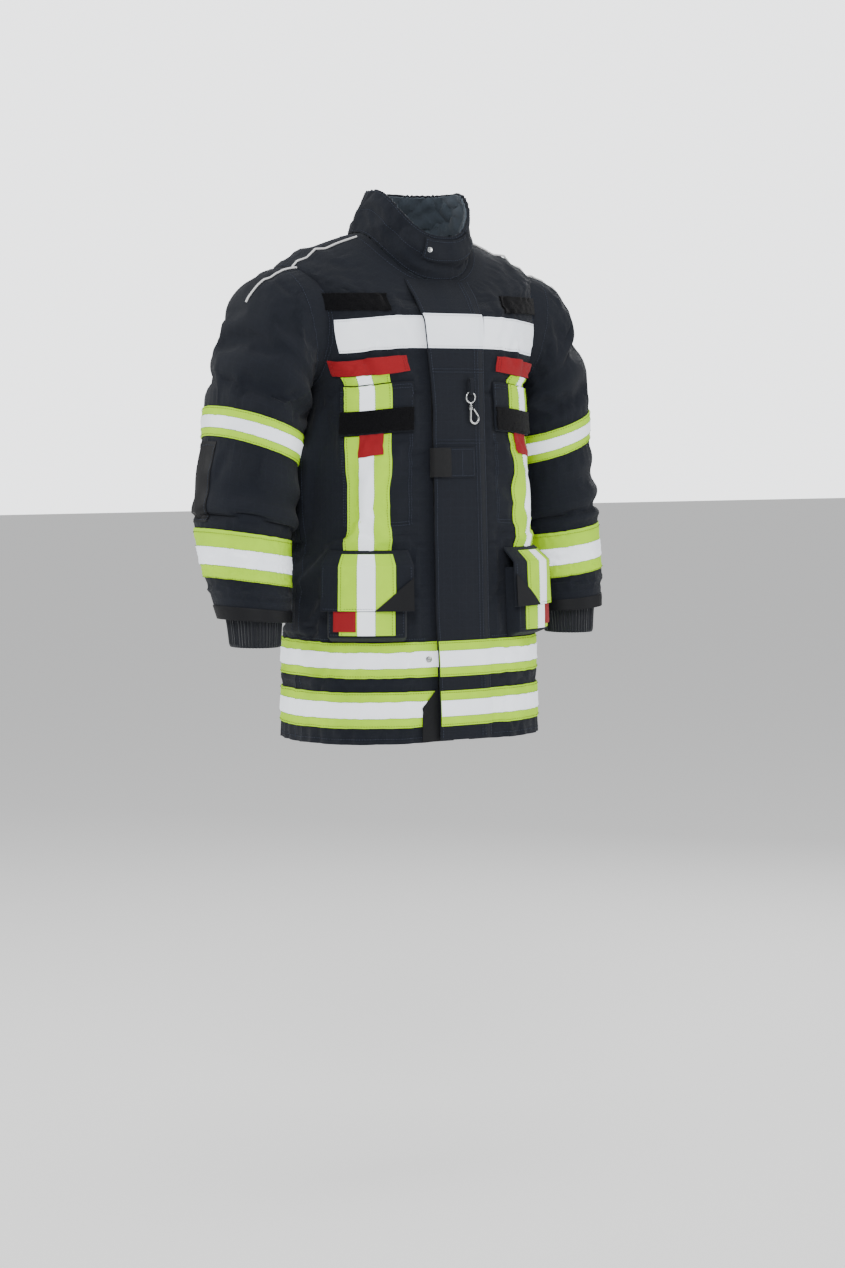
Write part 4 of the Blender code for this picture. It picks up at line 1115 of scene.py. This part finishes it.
RING_RADIUS, RING_WIRE, HOOK_WIRE, HOOK_BEND = 0.0085, 0.0013, 0.0020, 0.0075
pivot = np.array((HOOK_X, loop_middle[1], HOOK_TOP + 0.0015 + 0.0012 + RING_WIRE + 0.0003))
ring_middle = pivot - (0, 0, RING_RADIUS)
circle_turns = np.linspace(0, math.tau, 49)[:-1]
circle = [ring_middle + RING_RADIUS * np.array((math.sin(a), 0, math.cos(a))) for a in circle_turns]
ring = wire("swivel_ring", circle, RING_WIRE, closed=True)
STEM = [
    (0.0016, 0), (0.0028, 0.0002), (0.0028, 0.0018), (0.0019, 0.0026), (0.0019, 0.0040), (0.0028, 0.0048),
    (0.0026, 0.0060),
]
swivel = lathe("swivel_stem", ring_middle - (0, 0, RING_RADIUS + 0.006), (0, 0, 1), STEM, 20)
dress(ring, plated_steel, "hook_ring", ["hook_ring"])
dress(swivel, plated_steel, "hook_ring")
hook_top = ring_middle - (0, 0, RING_RADIUS + 0.006 + 0.0003)
spine_foot = hook_top - (0, 0, 0.019)
bend_turns = np.linspace(0, math.pi, 25)
bend = [spine_foot + (HOOK_BEND - HOOK_BEND * math.cos(a), 0, -HOOK_BEND * math.sin(a)) for a in bend_turns]
shank, tip = hook_top - (0, 0, 0.0025), spine_foot + (2 * HOOK_BEND, 0, 0.002)
hook = wire("hook_body", [shank, *bend, tip], HOOK_WIRE)
BARREL = [
    (0.0024, 0), (0.0036, 0.0006), (0.0036, 0.0018), (0.0031, 0.0022), (0.0036, 0.0026), (0.0036, 0.0044),
    (0.0026, 0.0051),
]
barrel = lathe("hook_barrel", hook_top - (0, 0, 0.0052), (0, 0, 1), BARREL, 20)
dress(hook, plated_steel, "snap_hook", ["snap_hook"])
dress(barrel, plated_steel, "snap_hook")
gate_foot, gate_head = spine_foot + (2 * HOOK_BEND, 0, 0.0036), hook_top + (0.0060, 0, -0.0035)
gate = wire("hook_spring_gate", [gate_foot, gate_head], 0.0013)
dress(gate, plated_steel, "hook_gate", ["hook_gate"])
cad_stud_low, cad_stud_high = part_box("press_stud")
stud_at = (np.array(cad_stud_low) + np.array(cad_stud_high)) / 2 + PEG + (0, 0.0006, 0)
dress(lathe("hem_stud", stud_at, (0, -1, 0), STUD), plated_steel, "torso", ["press_stud"])

# ------------------------------------------------------------
# Sleeves. Each is a wide bent tube in two lengths that meet under the upper band of tape. A scuff patch
# covers the elbow, and a knitted wristlet is inside.
HEM_ABOVE_GROUND = 0.762
# inner x and height above ground, outer x and height, half depth, middle y
SLEEVE = np.array((
    (0.184, 1.3190, 0.190, 1.5090, 0.0930, 0.025),
    (0.203, 1.3140, 0.240, 1.5020, 0.0935, 0.025),
    (0.202, 1.3100, 0.271, 1.4860, 0.0935, 0.025),
    (0.202, 1.3060, 0.298, 1.4590, 0.0930, 0.025),
    (0.202, 1.3000, 0.313, 1.4250, 0.0930, 0.025),
    (0.202, 1.2880, 0.328, 1.3900, 0.0940, 0.025),
    (0.204, 1.2640, 0.344, 1.3450, 0.0945, 0.025),
    (0.209, 1.2300, 0.353, 1.2840, 0.0950, 0.026),
    (0.216, 1.1860, 0.357, 1.2380, 0.0895, 0.027),
    (0.219, 1.1413, 0.363, 1.1790, 0.0885, 0.028),
    (0.221, 1.1040, 0.371, 1.1350, 0.0880, 0.026),
    (0.229, 1.0680, 0.377, 1.0920, 0.0820, 0.022),
    (0.237, 1.0080, 0.373, 1.0290, 0.0730, 0.006),
    (0.2385, 0.9960, 0.372, 1.0160, 0.0720, 0.002),
    (0.248, 0.9420, 0.362, 0.9500, 0.0600, -0.018),
))
WRISTLET = np.array((
    (0.2486, 0.9680, 0.3616, 0.9780, 0.0605, -0.010),
    (0.2620, 0.9450, 0.3500, 0.9500, 0.0500, -0.018),
    (0.2660, 0.9050, 0.3460, 0.9050, 0.0440, -0.022),
))
CUFF, UPPER_BAND, LOWER_BAND, JOIN = 14.0, (7.0, 8.0), (11.0, 13.0), 7.5
SLEEVE_CLOTH, SLEEVE_SEAM, PIPING = 0.0035, (176, 172), 0.0017


def tube(rings, side, rows, turns, head=1):
    """A sleeve's surface: its turns run from the outer side to the front."""
    keys = np.arange(len(rings))
    ax, az, bx, bz, deep, middle = np.moveaxis(through(keys, rings, rows[:, None] + 0 * turns), -1, 0)
    c, s = np.cos(np.radians(turns)), np.sin(np.radians(turns))
    # The head is squarer than the rest, so that it fills the armhole's upper corners.
    square = 1 - 0.14 * (1 - soft_step(1.5, 6.0, rows[:, None])) * head
    c, s = (np.sign(a) * np.abs(a) ** square for a in (c, s))
    x, z = (ax + bx) / 2 + (bx - ax) / 2 * c, (az + bz) / 2 + (bz - az) / 2 * c
    return np.stack([side * x, middle - deep * s, z - HEM_ABOVE_GROUND], -1)


def even_rows(rings, count):
    """Rows that lie about the same distance apart down the sleeve."""
    rows = np.linspace(0, len(rings) - 1, 600)
    spine = tube(rings, 1, rows, np.array((0.0, 90.0, 180.0, 270.0)))
    step = np.linalg.norm(np.diff(spine, axis=0), axis=2).mean(1)
    return np.interp(np.linspace(0, step.sum(), count), np.concatenate([[0], np.cumsum(step)]), rows)


knit = woven("aramid_knit", 0x24272E, 0x101216, 0.0020, 0.9, 0.2)
white_piping = plain("reflective_piping", 0xFFFFFF, 0.4)
sleeve_rows, sleeve_turns = even_rows(SLEEVE, 84), np.linspace(-180, 180, 97)
cuff_rows, cuff_turns = np.linspace(0, 2, 24), np.linspace(-180, 180, 361)
for side, word in SIDES:
    points = tube(SLEEVE, side, sleeve_rows, sleeve_turns)
    sleeve = Form(sleeve_rows, sleeve_turns, points, around=True, side=side)
    # Folds: slanting creases above the elbow and soft rolls under the band, as a worn sleeve keeps.
    r, t = sleeve_rows[:, None], np.radians(sleeve_turns)[None, :]
    folds = 0.0042 * np.sin(r * 5.2 + 1.1 * np.sin(t + 0.4) + side)
    folds = folds * soft_step(8.0, 9.0, r) * (1 - soft_step(10.2, 11, r))
    rolls = 0.0030 * np.sin(r * 3.6 + 1.6 * np.sin(t - 0.3))
    folds += rolls * soft_step(3.0, 4.5, r) * (1 - soft_step(6.2, 7.0, r))
    folds *= 0.55 + 0.45 * np.sin(t + 0.3 * side)
    sleeve.shape(sleeve.points + folds[..., None] * sleeve.normals)
    held = 1 - soft_step(0.4, 2.4, r) + soft_step(13.0, 14.0, r)
    for low, high in (UPPER_BAND, LOWER_BAND):
        held = held + 0.6 * soft_step(low - 0.5, low, r) * (1 - soft_step(high, high + 0.5, r))
    drape(sleeve, np.clip(held, 0, 1) + 0 * t, grow=0.055, cap=0.010, bend=0.8)

    rise = {"start": (side * 0.139, -0.05, -0.142), "end": (side * 0.256, -0.05, -0.279)}
    turn_at = {"start": (side * 0.288, -0.046, -0.343), "end": (side * 0.304, -0.052, -0.464)}

    def on_shoulder(piece, word=word, rise=rise):
        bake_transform(piece)

    def on_elbow(piece, word=word, turn_at=turn_at):
        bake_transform(piece)

    forearm = f"forearm_{word}"
    top = cloth(f"sleeve_top_{word}", navy_twill, on_shoulder, [f"upper_sleeve_{word}"], sleeve,
                (0.0, JOIN), AROUND, -SLEEVE_CLOTH, SLEEVE_CLOTH, 0.005)
    low = cloth(f"sleeve_low_{word}", navy_twill, on_elbow, [f"forearm_sleeve_{word}"], sleeve,
                (JOIN, CUFF), AROUND, -SLEEVE_CLOTH, SLEEVE_CLOTH, 0.005)
    felt = cloth(f"sleeve_lining_{word}", lining_cloth, on_elbow, [], sleeve, (8.6, CUFF - 0.1), AROUND,
                 -0.0062, 0.0022)
    cloth(f"cuff_binding_{word}", coated, forearm, [], sleeve, (CUFF - 0.28, CUFF), AROUND,
          0.0003, 0.0014, 0.004, 0.0004)
    sewn_tape(f"arm_band_{word}", sleeve, UPPER_BAND, AROUND, TRIM_LIFT, [f"upper_band_{word}"],
              f"upper_sleeve_{word}", share=(0.28, 0.72))
    sewn_tape(f"wrist_band_{word}", sleeve, LOWER_BAND, AROUND, TRIM_LIFT, [f"lower_band_{word}"], forearm,
              share=(0.20, 0.41), step=0.003)
    cloth(f"elbow_patch_{word}", coated, on_elbow, [], sleeve, (8.15, 10.8), (-92, 12),
          0.0003, 0.0012, 0.005, 0.0003)
    ends = (10.7, 8.25)
    lines = runs(sleeve, (ends,), (-90, 10), 0.0018) + runs(sleeve, ends, ((-91, 11),), 0.0018)
    lines += runs(sleeve, ((CUFF, 8.1),), SLEEVE_SEAM)
    stitched(f"elbow_stitches_{word}", lines, navy_thread, on_elbow)
    lines = runs(sleeve, ((7.0, 0.5),), SLEEVE_SEAM) + [run(sleeve, 1.05, (-150, 150))]
    stitched(f"sleeve_stitches_{word}", lines, navy_thread, on_shoulder)
    points = tube(WRISTLET, side, cuff_rows, cuff_turns, head=0)
    wrist = Form(cuff_rows, cuff_turns, points, around=True, side=side)
    rib = cloth(f"knit_cuff_{word}", knit, forearm, [f"wristlet_{word}"], wrist, (0, 2), AROUND,
                lambda r, c: -0.0026 + 0.0011 * np.cos(np.radians(c) * 48) * soft_step(2.0, 1.9, r),
                0.0015, 0.0014)

    # White reflective piping marks the shoulder, from the collar out over the head of the sleeve.
    path, _ = run(body, (0.7965, 0.7350), turns_at(side, 82)[0], 0.0016)
    dress(wire(f"shoulder_piping_{word}", path[::6], PIPING), white_piping, "torso")
    over = sleeve.at(np.linspace(0.60, 3.3, 40), np.linspace(19, 13, 40), 0.0018)
    dress(wire(f"sleeve_piping_{word}", over, PIPING), white_piping, on_shoulder)

# ------------------------------------------------------------
# Floor, light and camera: a plain pale floor, soft lamps all round, and a long lens at chest height.
GROUND = -1.548
bpy.ops.object.select_all(action="DESELECT")
bpy.ops.mesh.primitive_plane_add(size=60, location=(0, 0, GROUND))
floor = bpy.context.active_object
floor.name = "floor"
pale, _ = new_material("pale_floor", Roughness=0.8, Base_Color=linear(0xFAFAF9),
                       Emission_Color=linear(0xFFFFFF), Emission_Strength=0.3)
floor.data.materials.append(pale)

world = bpy.data.worlds.new("studio")
bpy.context.scene.world = world
world.use_nodes = True
backdrop = world.node_tree.nodes["Background"].inputs
backdrop["Color"].default_value = linear(0xFAFBFD)
# The backdrop is brighter to the eye than the light that it throws on the coat.
seen = node(world.node_tree, "ShaderNodeLightPath").outputs["Is Camera Ray"]
world.node_tree.links.new(maths(world.node_tree, "MULTIPLY_ADD", seen, 2.6, 0.38), backdrop["Strength"])
MIDDLE = np.array((0.0, -0.07, -0.38))
for name, place, size, power in (
    ("key", (-2.2, -3.2, 1.7), 1.6, 105),
    ("fill", (2.6, -2.6, 0.6), 2.0, 45),
    ("left_rim", (-2.4, 1.6, 0.9), 1.0, 45),
    ("right_rim", (2.4, 1.8, 0.9), 1.0, 45),
    ("top", (0.0, -0.4, 2.8), 1.6, 35),
):
    bpy.ops.object.light_add(type="AREA", location=place)
    lamp = bpy.context.active_object
    lamp.name = name
    lamp.data.size, lamp.data.energy = size, power
    away = np.array(place) - MIDDLE
    tilt, bearing = math.atan2(math.hypot(away[0], away[1]), away[2]), math.atan2(away[1], away[0])
    lamp.rotation_euler = (tilt, 0, bearing + math.pi / 2)

DISTANCE, EYE, LENS = 4.8, -0.278, 83.1
AZIMUTH, PITCH, ASIDE = math.radians(-33), math.radians(4.28), math.radians(0.245)
bpy.ops.object.camera_add(
    location=(DISTANCE * math.sin(AZIMUTH), -0.074 - DISTANCE * math.cos(AZIMUTH), EYE),
    rotation=(math.pi / 2 - PITCH, 0, AZIMUTH - ASIDE),
)
camera = bpy.context.active_object
camera.data.lens = LENS
bpy.context.scene.camera = camera
